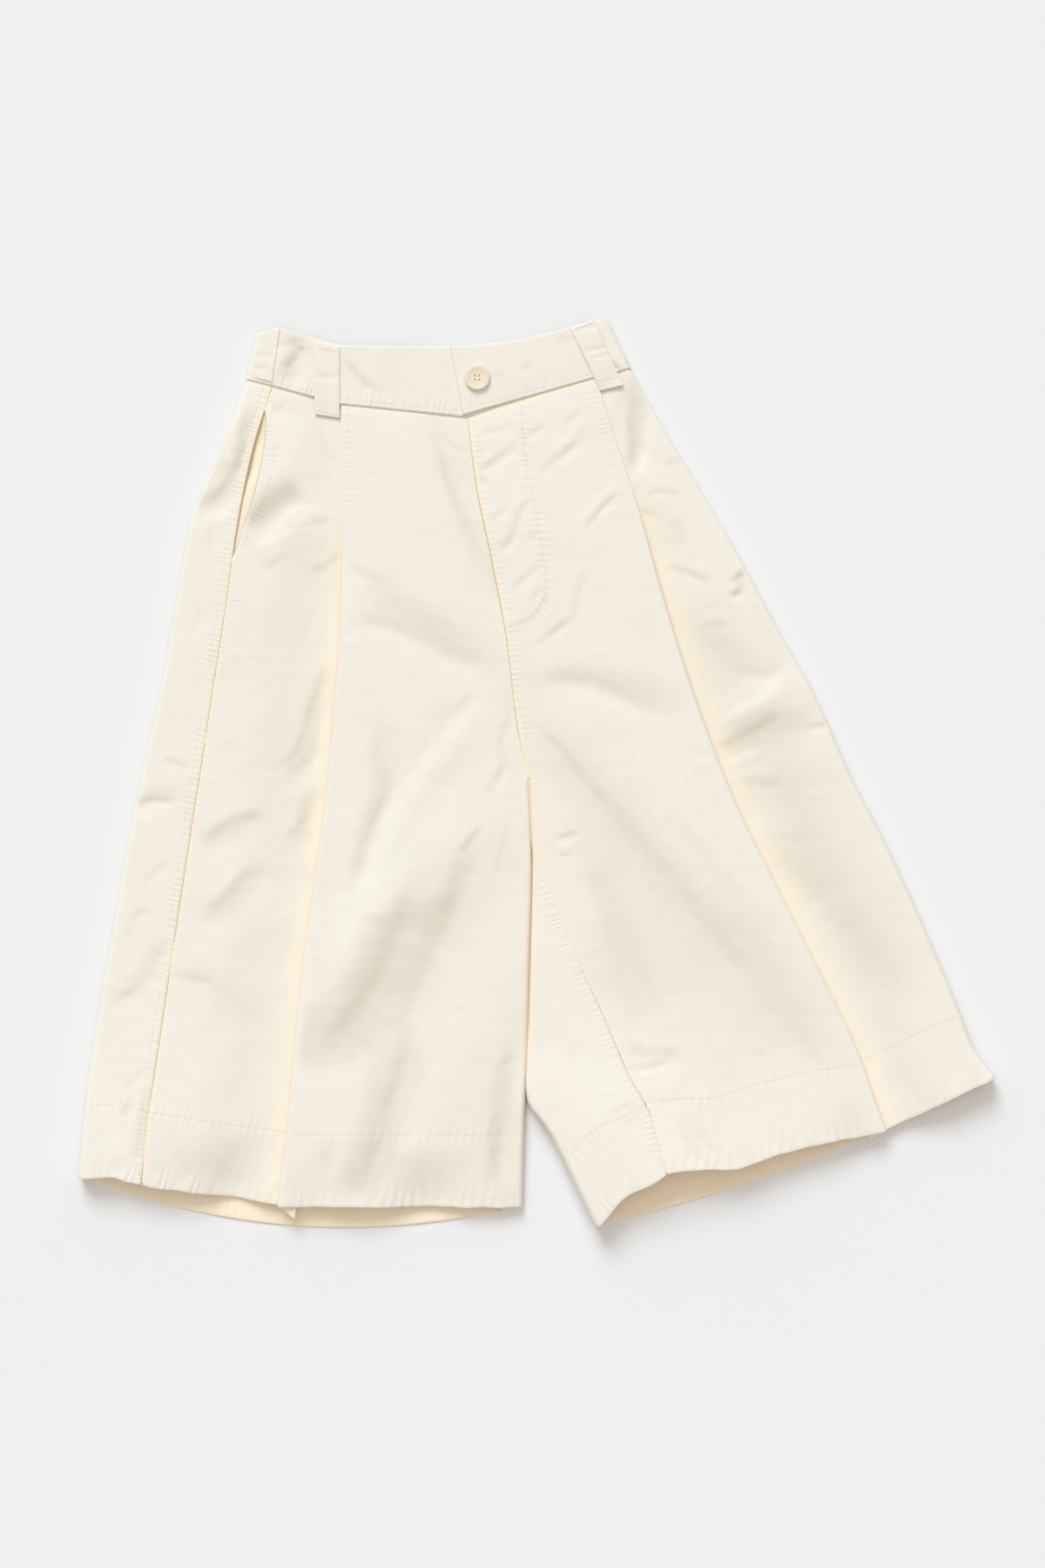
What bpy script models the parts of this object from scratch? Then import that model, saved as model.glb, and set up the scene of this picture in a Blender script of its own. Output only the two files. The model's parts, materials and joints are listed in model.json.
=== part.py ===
"""Wide work shorts with one deep pleat in each front, laid flat on their back.

The frame: +Z up, the cloth rests on z = 0, +Y runs from the hems to the waist, +X runs to the
wearer's left. Tables are in millimetres. Each half is a stack of rows, from the waist seam (down = 0)
to the hem (down = 1). A row is a ring of cloth: the underside on the floor, the rounded fold at the
side, the front on top with its pleat, and the rounded fold between the legs.
"""

import math
from collections import namedtuple

import bmesh
import bpy
import numpy as np
from mathutils import Matrix, Vector

MM = 0.001

# ---- Driving sizes, in millimetres ---------------------------------------------------------------
CLOTH = 1.2  # wall of one ply of heavy cotton
BAND = 2.0  # wall of the doubled waistband
STRAP = 1.6  # wall of a belt loop
PLY = 1.0  # wall of the fly's and the pocket's extra ply
SEAM_GAP = 0.3  # between two pieces at a seam
LIE_GAP = 0.5  # between a piece and the piece it lies on
LEG_LINE = 690.0  # a row's whole way down, from waist seam to hem
CROTCH = 0.46  # share of the way down where the legs part
CROTCH_STEP = 0.005  # the last row above it
TURN_UNDER = 14.0  # how far a front or a band reaches round onto the underside before its seam
LEAST_TOP = 2.8  # the lowest that a fold may press the top cloth
SIDE_ROUND = 6.0  # half the width of the rounded fold at a side
INNER_ROUND, CROTCH_ROUND = 5.0, 1.5  # the same between the legs, and where it starts at the crotch
ROUND_GROWS = 0.24  # share of the way down over which it grows from one to the other
ROUND_MOST = 0.45  # a side's fold is at most this share of its height wide
BAND_ROUND = 4.0  # the same at the ends of the waistband
ROWS_ABOVE, ROWS_BELOW = 13, 17

# ---- The plan: points (x, y) along each line of a half -------------------------------------------
# outer: side silhouette. seam: side seam, which shows on top of the right leg. fold: the pleat's edge.
RightRow = namedtuple("RightRow", "down outer seam fold")
RIGHT_PLAN = (
    RightRow(0.00, (-249, 340.5), (-228, 335), (-168, 319)),
    RightRow(0.09, (-273, 278), (-246, 274), (-168, 256.5)),
    RightRow(0.18, (-298, 218), (-258, 212), (-166.5, 194)),
    RightRow(0.29, (-312, 141), (-268.5, 137), (-169, 118.5)),
    RightRow(0.38, (-323, 79.5), (-278, 76.5), (-174, 56)),
    RightRow(0.46, (-335, 24), (-286, 22), (-178.5, 1.5)),
    RightRow(0.57, (-349, -42), (-296, -42), (-187.5, -74)),
    RightRow(0.68, (-364, -127.5), (-309, -128), (-199, -151)),
    RightRow(0.80, (-378.5, -210), (-321, -210), (-207.5, -233)),
    RightRow(0.91, (-389, -285), (-331.5, -284), (-213.5, -302)),
    RightRow(1.00, (-395, -347), (-339, -353), (-222, -371)),
)
LeftRow = namedtuple("LeftRow", "down fold outer")
LEFT_PLAN = (
    LeftRow(0.00, (51, 342), (81, 350)),
    LeftRow(0.09, (70, 283.5), (111.5, 295)),
    LeftRow(0.18, (89, 225), (145.5, 239)),
    LeftRow(0.29, (109, 154), (183, 173)),
    LeftRow(0.38, (127, 95), (212.5, 118)),
    LeftRow(0.46, (147, 37), (240, 69)),
    LeftRow(0.57, (173, -28), (270, 2)),
    LeftRow(0.68, (208, -99), (306.5, -70)),
    LeftRow(0.80, (247, -177), (338, -140)),
    LeftRow(0.91, (277, -240), (365, -205)),
    LeftRow(0.96, (291, -279), (377, -236)),
    LeftRow(1.00, (301, -307), (395, -260)),
)
# The centre front, which both halves share down to the crotch.
CentreRow = namedtuple("CentreRow", "down line")
CENTRE_FRONT = (
    CentreRow(0.00, (-58.5, 308)),
    CentreRow(0.09, (-50.5, 247)),
    CentreRow(0.18, (-38, 186)),
    CentreRow(0.29, (-24, 111)),
    CentreRow(0.38, (-16.5, 47)),
    CentreRow(0.46, (-6.6, -5)),
)
# Below it: the folds between the legs, and the left leg's inseam, which shows on top.
InnerRow = namedtuple("InnerRow", "down right left inseam")
INNER_PLAN = (
    InnerRow(0.46, (-6.8, -6), (-5.1, -6), (-1.5, -5)),
    InnerRow(0.57, (-3.8, -80), (-2.0, -76), (3.5, -72)),
    InnerRow(0.68, (-5.3, -154.5), (-3.4, -146), (26, -138)),
    InnerRow(0.80, (-7.5, -236), (-5.7, -222), (61, -216)),
    InnerRow(0.87, (-9.5, -284), (-5, -276), (82, -264)),
    InnerRow(0.93, (-11, -325), (16, -318), (99, -296)),
    InnerRow(1.00, (-12, -373), (51, -390), (111, -342)),
)

# ---- Heights of the middle of the cloth above the floor ------------------------------------------
# rim: just inside the side silhouette. under: the hidden inner fold of the pleat. fold: the pleat's
# edge. crown: the middle of the centre part.
RightHeight = namedtuple("RightHeight", "down rim seam under fold crown")
RIGHT_HEIGHT = (
    RightHeight(0.00, 9, 10, 7.6, 11, 11),
    RightHeight(0.09, 10, 12, 8.2, 12, 13),
    RightHeight(0.18, 11, 13, 8.0, 13, 14),
    RightHeight(0.29, 11, 13, 7.0, 14, 15),
    RightHeight(0.57, 11, 13, 7.5, 14, 15),
    RightHeight(0.80, 13, 15, 9.0, 15, 17),
    RightHeight(1.00, 20, 22, 11.0, 17.5, 19),
)
LeftHeight = namedtuple("LeftHeight", "down rim under fold crown")
LEFT_HEIGHT = (
    LeftHeight(0.00, 9, 7.6, 11, 11),
    LeftHeight(0.09, 9.5, 8.2, 12, 13),
    LeftHeight(0.18, 10, 8.0, 13, 14),
    LeftHeight(0.29, 11, 6.5, 14, 14),
    LeftHeight(0.57, 12, 6.0, 15, 15),
    LeftHeight(0.80, 15, 7.0, 15, 17),
    LeftHeight(1.00, 22, 9.0, 15.5, 24),
)
# The centre front, and below the crotch the folds between the legs. The left lies over the right.
InnerHeight = namedtuple("InnerHeight", "down right left inseam")
INNER_HEIGHT = (
    InnerHeight(0.00, 8.5, 10.2, 10.2),
    InnerHeight(0.18, 9, 11, 11),
    InnerHeight(0.29, 10, 11, 11),
    InnerHeight(0.46, 13, 11, 11),
    InnerHeight(0.57, 14, 10, 11),
    InnerHeight(0.68, 14, 11, 12),
    InnerHeight(0.80, 13, 13, 15),
    InnerHeight(0.91, 11, 19, 23),
    InnerHeight(1.00, 9, 24, 30),
)

# ---- The waistband's top edge, above the same lines ----------------------------------------------
RIGHT_BAND_TOP = {"outer": (-241, 379), "seam": (-221, 383), "fold": (-169, 368), "inner": (-74, 367.5)}
LEFT_BAND_TOP = {"inner": (-74, 367.5), "edge": (-72, 367.5), "fold": (40, 387), "outer": (61, 391.5)}
LEFT_BAND_CORNER = (-63.5, 309.5)  # the low corner of the buttonhole end
FRONT_BAND_SAG, BACK_BAND_SAG = 5.0, 3.0  # how far the left's top edge hangs between those points
BAND_OVERLAP = 22.0  # the right end runs on this far under the left
BAND_STEP = 2.5  # and the left end stands this much higher

# ---- The pleats ----------------------------------------------------------------------------------
PLEAT_DEPTH_WAIST, PLEAT_DEPTH_HEM = 28.0, 13.0
PLEAT_HANG = {"right": 11.0, "left": 5.0}  # how much lower the side part lies at the hem
HANG_GROWS = 0.6  # share of the way down over which that grows
STITCHED = 0.135  # the pleats are sewn shut down to here, and hang free below
# The side part sinks under the pleat, and loses the folds' height there, between these shares across.
SINK_FROM, SINK_TO = 0.3, 0.9
FADE_FROM, FADE_TO = 0.6, 0.95
CENTRE_FADE = 40.0  # the centre part takes the folds' height over this far from the pleat's edge

# ---- The hems ------------------------------------------------------------------------------------
BACK_DROP = {"right": 18.0, "left": 0.0}  # how far the back hem shows below the front hem
BACK_DROP_FROM = 0.7  # it starts here
HemWave = namedtuple("HemWave", "x wide drop")
HEM_WAVES = (HemWave(173, 28, 7.5), HemWave(76, 17, -9), HemWave(-362, 16, -4))
HEM_FROM = 0.84  # the waves start here

# ---- The side pocket's open mouth ----------------------------------------------------------------
MOUTH_TOP, MOUTH_LOW, MOUTH_WIDE, MOUTH_LIFT = 0.03, 0.225, 11.0, 1.5
FACING_OUT, FACING_IN, FACING_TOP, FACING_LOW = 8.0, 42.0, 0.015, 0.285
FACING_DEEP = 2.6  # how far its middle lies under the back's edge, and then again under the front

# ---- The fly -------------------------------------------------------------------------------------
FLY_WIDE, FLY_TOE, FLY_ROUND_FROM, FLY_LOW = 45.0, 10.0, 0.19, 0.265
FLY_END = 0.267  # where its rounded side would close

# ---- The belt loops: the corners of each, (x, y), as seen from above -----------------------------
Loop = namedtuple("Loop", "top_out top_in low_out low_in")
BELT_LOOPS = {
    "right": Loop((-191, 372.5), (-169.5, 367), (-190, 309), (-169.5, 306)),
    "left": Loop((49, 390.5), (30, 383), (75, 334), (56, 329.5)),
}
LOOP_STAND = 1.6  # how far its middle stands off the band
LOOP_SHARES = (0, 0.15, 0.33, 0.5, 0.66, 0.8, 0.87, 0.94, 1)  # where its rows lie, from top to foot
LOOP_STEP, LOOP_SEAM = 0.8, 0.87  # it starts to step down onto the panel, and crosses the waist seam
LOOP_FOOT_DROP = 1.5  # its foot lies this much lower than the band beside it

# ---- The button ----------------------------------------------------------------------------------
BUTTON_SIZE, BUTTON_THICK = 21.5, 3.2
BUTTON_AT = (-50.5, 340.5)
BUTTON_HOLE, BUTTON_HOLES_APART = 2.0, 3.4
# The dished profile: how far in from the rim, and the share of the thickness. The last two are the dish.
Turned = namedtuple("Turned", "from_rim height")
BUTTON_PROFILE = (
    Turned(2.0, 0.0),
    Turned(0.6, 0.15),
    Turned(0.0, 0.5),
    Turned(0.7, 0.92),
    Turned(2.2, 1.0),
    Turned(4.0, 0.82),
)
BUTTON_DISH = 0.66  # share of the thickness left at the middle

# ---- The largest folds: each is a soft ridge (rise above 0) or trough along a bent line ----------
Fold = namedtuple("Fold", "what start bend end wide rise")
FOLDS = (
    Fold("valley beside the fly", (-86, 298), (-68, 245), (-32, 141), 10, -3.0),
    Fold("right thigh ridge", (-40, -30), (-133, -120), (-188, -250), 28, 4.0),
    Fold("right thigh valley", (-12, -70), (-82, -170), (-140, -320), 24, -3.0),
    Fold("right hip valley", (-160, 175), (-120, 141), (-52, 84), 20, -2.5),
    Fold("left long valley", (-3, 46), (92, -84), (236, -237), 30, -4.5),
    Fold("left knee valley", (39, -73), (72, -130), (93, -245), 20, -3.0),
    Fold("left side ridge", (151, 40), (185, 57), (216, 76), 17, 3.0),
    Fold("left side valley", (168, 10), (205, 26), (250, 41), 17, -3.5),
    Fold("right pocket valley", (-256, 283), (-272, 255), (-291, 229), 12, -3.0),
    Fold("left hip valley", (82, 325), (86, 291), (92, 257), 10, -2.5),
    Fold("pocket dent", (-199, 240), (-224, 222), (-248, 207), 14, -2.5),
)
FOLD_STEPS = 24


def steps(count, start=0.0, end=1.0):
    return np.linspace(start, end, count)


def smooth(t):
    """0 below 0, 1 above 1, with a soft S between."""
    t = np.clip(t, 0.0, 1.0)
    return t * t * (3 - 2 * t)


def toward(start, end):
    line = np.array(end, float) - np.array(start, float)
    return line / np.linalg.norm(line)


def curve_through(knots, values, at):
    """A smooth curve through the values, which never swings past them."""
    knots, values = np.array(knots, float), np.array(values, float)
    widths, rises = np.diff(knots), np.diff(values)
    slopes = rises / widths
    tangents = np.concatenate([[slopes[0]], np.zeros(len(slopes) - 1), [slopes[-1]]])
    for i in range(1, len(slopes)):
        if slopes[i - 1] * slopes[i] > 0:
            first, second = 2 * widths[i] + widths[i - 1], widths[i] + 2 * widths[i - 1]
            tangents[i] = (first + second) / (first / slopes[i - 1] + second / slopes[i])
    i = int(np.clip(np.searchsorted(knots, at) - 1, 0, len(slopes) - 1))
    t, wide = (at - knots[i]) / widths[i], widths[i]
    leave, arrive = tangents[i] * wide, tangents[i + 1] * wide
    start_part = (2 * t**3 - 3 * t**2 + 1) * values[i] + (t**3 - 2 * t**2 + t) * leave
    return start_part + (3 * t**2 - 2 * t**3) * values[i + 1] + (t**3 - t**2) * arrive


def column(table, name, down):
    """One column of a table at that share of the way down. A plan point comes back as an array."""
    knots, values = [r.down for r in table], [getattr(r, name) for r in table]
    if isinstance(values[0], tuple):
        return np.array([curve_through(knots, [v[k] for v in values], down) for k in (0, 1)])
    return float(curve_through(knots, values, down))


def bent_line(start, bend, end, count):
    """Points of a curve from start to end through bend."""
    start, bend, end = (np.array(p, float) for p in (start, bend, end))
    handle = 2 * bend - (start + end) / 2
    t = steps(count)[:, None]
    return start * (1 - t) ** 2 + 2 * handle * t * (1 - t) + end * t**2


FOLD_LINES = tuple(bent_line(f.start, f.bend, f.end, FOLD_STEPS + 1) for f in FOLDS)


def fold_height(x, y):
    """What the folds add to the height of the top cloth at a plan point. They fade at both ends."""
    total = 0.0
    for fold, line in zip(FOLDS, FOLD_LINES):
        away = np.hypot(line[:, 0] - x, line[:, 1] - y)
        near = int(away.argmin())
        along = math.sin(math.pi * (0.08 + 0.84 * near / FOLD_STEPS))
        total += fold.rise * along * math.exp(-((away[near] / fold.wide) ** 2))
    return total


def hem_drop(x, down):
    """How far the top cloth's hem waves downward there."""
    grown = smooth((down - HEM_FROM) / (1 - HEM_FROM))
    return grown * sum(w.drop * math.exp(-(((x - w.x) / w.wide) ** 2)) for w in HEM_WAVES)


class Half:
    """The lines and heights of one row of one half."""

    def __init__(self, side, down):
        self.side, self.down, self.split = side, down, down > CROTCH - CROTCH_STEP / 2
        plan, heights = (RIGHT_PLAN, RIGHT_HEIGHT) if side == "right" else (LEFT_PLAN, LEFT_HEIGHT)
        self.outer, self.fold = column(plan, "outer", down), column(plan, "fold", down)
        self.height = {name: column(heights, name, down) for name in heights[0]._fields[1:]}
        for name in ("right", "left", "inseam"):
            self.height[name] = column(INNER_HEIGHT, name, down)
        self.height["inner"] = self.height["right" if side == "right" else "inseam"]
        if side == "right":
            self.seam = column(plan, "seam", down)
        if self.split:
            self.edge = column(INNER_PLAN, side, down)
            self.inner = self.edge if side == "right" else column(INNER_PLAN, "inseam", down)
        else:
            self.edge = self.inner = column(CENTRE_FRONT, "line", down)
        depth = PLEAT_DEPTH_WAIST + (PLEAT_DEPTH_HEM - PLEAT_DEPTH_WAIST) * down
        hang = PLEAT_HANG[side] * smooth((down - STITCHED) / HANG_GROWS)
        self.under = self.fold + depth * toward(self.fold, self.inner) - np.array([0.0, hang])
        grown = smooth((down - CROTCH) / ROUND_GROWS)
        self.inner_round = CROTCH_ROUND + (INNER_ROUND - CROTCH_ROUND) * grown
        self.side_round = min(SIDE_ROUND, ROUND_MOST * self.height["rim"])

    def on_top(self, plan, height, share=1.0):
        """A point of the top cloth, with its share of the folds and of the hem's waves."""
        x, y = float(plan[0]), float(plan[1])
        return (x, y - share * hem_drop(x, self.down), max(height + share * fold_height(x, y), LEAST_TOP))

    def underside(self, share):
        """A plan point of the underside: a smooth line from the side, past the pleat, to the inner edge."""
        hem = smooth((self.down - BACK_DROP_FROM) / (1 - BACK_DROP_FROM))
        low = self.fold - np.array([0.0, BACK_DROP[self.side] * hem])
        return arc_line(self.outer, low, self.edge, share)

    def underside_share(self, millimetres):
        return millimetres / np.linalg.norm(self.edge - self.outer)

    def side_fold(self, count):
        """The rounded fold at the side, from the floor up to the top cloth."""
        inward = toward(self.outer, self.seam if self.side == "right" else self.fold)
        return self.rounded(self.outer, inward, self.side_round, self.height["rim"], count)

    def inner_fold(self, count):
        """The rounded fold between the legs, from the floor up to the top cloth."""
        inward = toward(self.edge, self.fold)
        return self.rounded(self.edge, inward, self.inner_round, self.height[self.side], count)

    def rounded(self, at, inward, wide, top, count):
        points = []
        for plan, height, turn in half_ellipse(at, inward, wide, CLOTH / 2, top, count):
            share = max(0.0, math.sin(turn))
            if share > 0:
                points.append(self.on_top(plan, height, share))
            else:
                points.append((*plan, height))
        return points

    def mouth(self):
        """How far the pocket's mouth gapes in this row, from 0 to 1."""
        t = (self.down - MOUTH_TOP) / (MOUTH_LOW - MOUTH_TOP)
        return math.sin(math.pi * t**0.75) if 0 < t < 1 and self.side == "right" else 0.0

    def side_start(self):
        """Where the front's side part starts: at the side seam, or where it comes over the left side."""
        if self.side == "left":
            inward = toward(self.outer, self.fold)
            return self.outer + inward * self.side_round, self.height["rim"]
        gap = SEAM_GAP / 2 + MOUTH_WIDE * self.mouth()
        start = self.seam + toward(self.seam, self.fold) * gap
        return start, self.height["seam"] + MOUTH_LIFT * self.mouth()

    def side_point(self, share):
        """A point of the side part, from its start (0) to the pleat's edge above it (1)."""
        start, height = self.side_start()
        sink = smooth((share - SINK_FROM) / (SINK_TO - SINK_FROM))
        level = height + (self.height["under"] - height) * sink
        fade = 1 - smooth((share - FADE_FROM) / (FADE_TO - FADE_FROM))
        return self.on_top(start + (self.fold - start) * share, level, fade)

    def centre_point(self, share, start, end):
        """A point of the centre part, from the pleat's edge (0) to its inner end (1)."""
        height = self.height
        bulge = height["crown"] - (height["fold"] + height["inner"]) / 2
        level = height["fold"] + (height["inner"] - height["fold"]) * share
        level += bulge * 4 * share * (1 - share)
        fade = smooth(share * np.linalg.norm(end - start) / CENTRE_FADE)
        return self.on_top(start + (end - start) * share, level, fade)

    def centre_end(self):
        if self.side == "right" and self.split:
            return self.edge + toward(self.edge, self.fold) * self.inner_round
        return self.inner - toward(self.fold, self.inner) * SEAM_GAP / 2

    def pleated(self, side_count, turn_count, centre_count):
        """The front from its side part, in under the pleat and out again, to the inner edge."""
        height = self.height
        ply = (height["fold"] - height["under"]) / 4
        points = [self.side_point(share) for share in steps(side_count)]
        points += [(*(self.fold + (self.under - self.fold) * s), height["under"]) for s in (0.5, 1.0)]
        out = toward(self.fold, self.under)
        for turn in steps(turn_count, -math.pi / 2, math.pi / 2)[1:]:
            plan = self.under + out * ply * math.cos(turn)
            points.append((*plan, height["under"] + ply * (1 + math.sin(turn))))
        for turn in steps(turn_count, -math.pi / 2, math.pi / 2):
            plan = self.fold - out * ply * (math.cos(turn) - 1)
            points.append((*plan, height["fold"] - ply * (1 - math.sin(turn))))
        start, end = self.fold + out * ply, self.centre_end()
        points += [self.centre_point(share, start, end) for share in steps(centre_count)[1:]]
        return points


def arc_line(start, middle, end, share):
    """A point of the parabola through three plan points, at a share of its length."""
    long_a, long_b = np.linalg.norm(middle - start), np.linalg.norm(end - middle)
    knot = long_a / (long_a + long_b)
    at_start = (share - knot) * (share - 1) / knot
    at_middle = share * (share - 1) / (knot * (knot - 1))
    return at_start * start + at_middle * middle + share * (share - knot) / (1 - knot) * end


def half_ellipse(at, inward, wide, low, top, count):
    """Plan point, height and turn, from the floor up round a fold whose outermost line is at."""
    for turn in steps(count, -math.pi / 2, math.pi / 2):
        plan = at + inward * wide * (1 - math.cos(turn))
        yield plan, (top + low) / 2 + (top - low) / 2 * math.sin(turn), turn


# ---- Making solids -------------------------------------------------------------------------------
def clear_scene():
    for thing in list(bpy.data.objects):
        bpy.data.objects.remove(thing, do_unlink=True)


def finish_of(name, colour, roughness):
    material = bpy.data.materials.new(name)
    material.use_nodes = True
    shader = material.node_tree.nodes["Principled BSDF"]
    shader.inputs["Base Color"].default_value = (*colour, 1)
    shader.inputs["Roughness"].default_value = roughness
    material.diffuse_color = (*colour, 1)
    return material


def named_object(name, mesh, material):
    data = bpy.data.meshes.new(name)
    mesh.to_mesh(data)
    mesh.free()
    thing = bpy.data.objects.new(name, data)
    bpy.context.scene.collection.objects.link(thing)
    if material is not None:
        data.materials.append(material)
    return thing


def sheet_of_cloth(name, rows, wall, material, kept=None):
    """A named object: the grid of points as a surface, given its wall by Solidify.
    kept(row, column) says which faces of the grid exist."""
    mesh = bmesh.new()
    corners = [[mesh.verts.new(Vector(p) * MM) for p in row] for row in rows]
    for i, (above, below) in enumerate(zip(corners, corners[1:])):
        for j in range(len(above) - 1):
            if kept is None or kept(i, j):
                mesh.faces.new((above[j], below[j], below[j + 1], above[j + 1]))
    loose = [v for v in mesh.verts if not v.link_faces]
    bmesh.ops.delete(mesh, geom=loose, context="VERTS")
    thing = named_object(name, mesh, material)
    thing.data.shade_smooth()
    thicken = thing.modifiers.new("wall", "SOLIDIFY")
    thicken.thickness = wall * MM
    thicken.offset = 0
    return thing


def row_places():
    above = steps(ROWS_ABOVE, SEAM_GAP / LEG_LINE, CROTCH - CROTCH_STEP).tolist()
    return above + steps(ROWS_BELOW, CROTCH, 1).tolist()


# ---- The panels ----------------------------------------------------------------------------------
SIDE_COUNT, TURN_COUNT, CENTRE_COUNT = 8, 4, 12  # points across each part of a front
ROUND_COUNT, FLOOR_COUNT, WRAP_COUNT = 7, 6, 4  # points round a fold, across a back, and on top of it


def front_right(cloth):
    """From the side seam to the centre front. Below the crotch it goes on round the inner fold."""
    rows = []
    for down in row_places():
        half = Half("right", down)
        seam_at = 1 - half.underside_share(half.inner_round + TURN_UNDER)
        wrap = half.inner_fold(ROUND_COUNT)[::-1][1:] + [(*half.underside(seam_at), CLOTH / 2)]
        rows.append(half.pleated(SIDE_COUNT, TURN_COUNT, CENTRE_COUNT) + wrap)
    first_wrap = len(rows[0]) - ROUND_COUNT - 1
    sheet_of_cloth("front_right", rows, CLOTH, cloth, lambda i, j: j < first_wrap or i >= ROWS_ABOVE)


def front_left(cloth):
    """From its side seam on the underside, over the side, to the centre front and the inseam."""
    rows = []
    for down in row_places():
        half = Half("left", down)
        seam_at = half.underside_share(half.side_round + TURN_UNDER)
        wrap = [(*half.underside(seam_at), CLOTH / 2)] + half.side_fold(ROUND_COUNT)[:-1]
        rows.append(wrap + half.pleated(SIDE_COUNT, TURN_COUNT, CENTRE_COUNT))
    sheet_of_cloth("front_left", rows, CLOTH, cloth)


def back_rows(half, first, last, rim, end, heights):
    """The underside, then round a fold, then on top as far as a seam."""
    floor = [(*half.underside(share), CLOTH / 2) for share in steps(FLOOR_COUNT, first, last)]
    floor[-1] = rim[0]
    start = half.outer + toward(half.outer, end) * half.side_round
    if half.side == "left":
        start = half.edge + toward(half.edge, half.fold) * half.inner_round
    top = []
    for share in steps(WRAP_COUNT)[1:]:
        height = heights[0] + (heights[1] - heights[0]) * share
        top.append(half.on_top(start + (end - start) * share, height))
    return floor + rim[1:] + top


def back_right(cloth):
    """The underside of the right leg, and up round the side to the side seam on top."""
    rows = []
    for down in row_places():
        half = Half("right", down)
        inner_stop = half.inner_round + TURN_UNDER + SEAM_GAP if half.split else SEAM_GAP / 2
        first, last = 1 - half.underside_share(inner_stop), half.underside_share(half.side_round)
        end = half.seam - toward(half.outer, half.seam) * SEAM_GAP / 2
        heights = (half.height["rim"], half.height["seam"])
        rows.append(back_rows(half, first, last, half.side_fold(ROUND_COUNT), end, heights))
    sheet_of_cloth("back_right", rows, CLOTH, cloth)


def back_left(cloth):
    """The underside of the left leg. Below the crotch it comes up between the legs to the inseam."""
    rows = []
    for down in row_places():
        half = Half("left", down)
        inner_stop = half.inner_round if half.split else SEAM_GAP / 2
        first = half.underside_share(half.side_round + TURN_UNDER + SEAM_GAP)
        last = 1 - half.underside_share(inner_stop)
        rim = half.inner_fold(ROUND_COUNT)
        if not half.split:
            rim[0] = (*half.underside(last), CLOTH / 2)
        end = half.inner + toward(half.fold, half.inner) * SEAM_GAP / 2
        heights = (half.height["left"], half.height["inseam"])
        rows.append(back_rows(half, first, last, rim, end, heights))
    on_floor = FLOOR_COUNT - 1
    sheet_of_cloth("back_left", rows, CLOTH, cloth, lambda i, j: j < on_floor or i >= ROWS_ABOVE)


# ---- The waistband -------------------------------------------------------------------------------
BAND_ROWS = 4
BAND_SIDE_COUNT, BAND_CENTRE_COUNT = 5, 9  # points across each part of the band


def band_point(half, tops, name, share):
    """A point of the band on one of the lines, from the waist seam (0) to its top edge (1)."""
    low = getattr(half, name)
    if half.side == "left" and name == "inner":
        low = np.array(LEFT_BAND_CORNER)
    return low + (np.array(tops[name], float) - low) * share


def band_line(half, tops, names, share, count, heights):
    """Points from one line of the band to the next, with a height at each end."""
    start, end = (band_point(half, tops, name, share) for name in names)
    rise = heights[1] - heights[0]
    return [(*(start + (end - start) * s), heights[0] + rise * smooth(s)) for s in steps(count)]


def band_rim(at, inward, top):
    """The rounded fold at the band's end, from the floor up."""
    ring = half_ellipse(at, inward, BAND_ROUND, BAND / 2, top, ROUND_COUNT)
    return [(*plan, height) for plan, height, _ in ring]


def band_front_right(cloth):
    """From the side seam to the centre, and on under the left end."""
    half, left, tops = Half("right", 0.0), Half("left", 0.0), RIGHT_BAND_TOP
    level = half.height
    rows = []
    for share in steps(BAND_ROWS):
        ends = (level["seam"], level["fold"])
        row = band_line(half, tops, ("seam", "fold"), share, BAND_SIDE_COUNT, ends)
        start = band_point(half, tops, "seam", share) + toward(half.seam, half.fold) * SEAM_GAP / 2
        row[0] = (*start, level["seam"])
        ends = (level["fold"], level["inner"])
        row += band_line(half, tops, ("fold", "inner"), share, BAND_CENTRE_COUNT, ends)[1:]
        inner = band_point(half, tops, "inner", share)
        along = toward(inner, band_point(left, LEFT_BAND_TOP, "fold", share))
        row += [(*(inner + along * BAND_OVERLAP * s), level["inner"]) for s in (0.5, 1.0)]
        rows.append(row)
    sheet_of_cloth("band_front_right", rows, BAND, cloth)


def band_front_left(cloth):
    """From the buttonhole end, over the left side, to its seam on the underside."""
    half, tops = Half("left", 0.0), LEFT_BAND_TOP
    level = dict(half.height, inner=half.height["right"] + BAND_STEP)
    rows = []
    for share in steps(BAND_ROWS):
        ends = (level["inner"], level["fold"])
        row = band_line(half, tops, ("inner", "fold"), share, BAND_CENTRE_COUNT, ends)
        sag = [FRONT_BAND_SAG * share * math.sin(math.pi * s) for s in steps(BAND_CENTRE_COUNT)]
        row = [(x, y - low, z) for (x, y, z), low in zip(row, sag)]
        outer = band_point(half, tops, "outer", share)
        inward = toward(outer, band_point(half, tops, "fold", share))
        row += band_rim(outer, inward, level["rim"])[::-1]
        row.append((*(outer + inward * (BAND_ROUND + TURN_UNDER)), BAND / 2))
        rows.append(row)
    sheet_of_cloth("band_front_left", rows, BAND, cloth)


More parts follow.
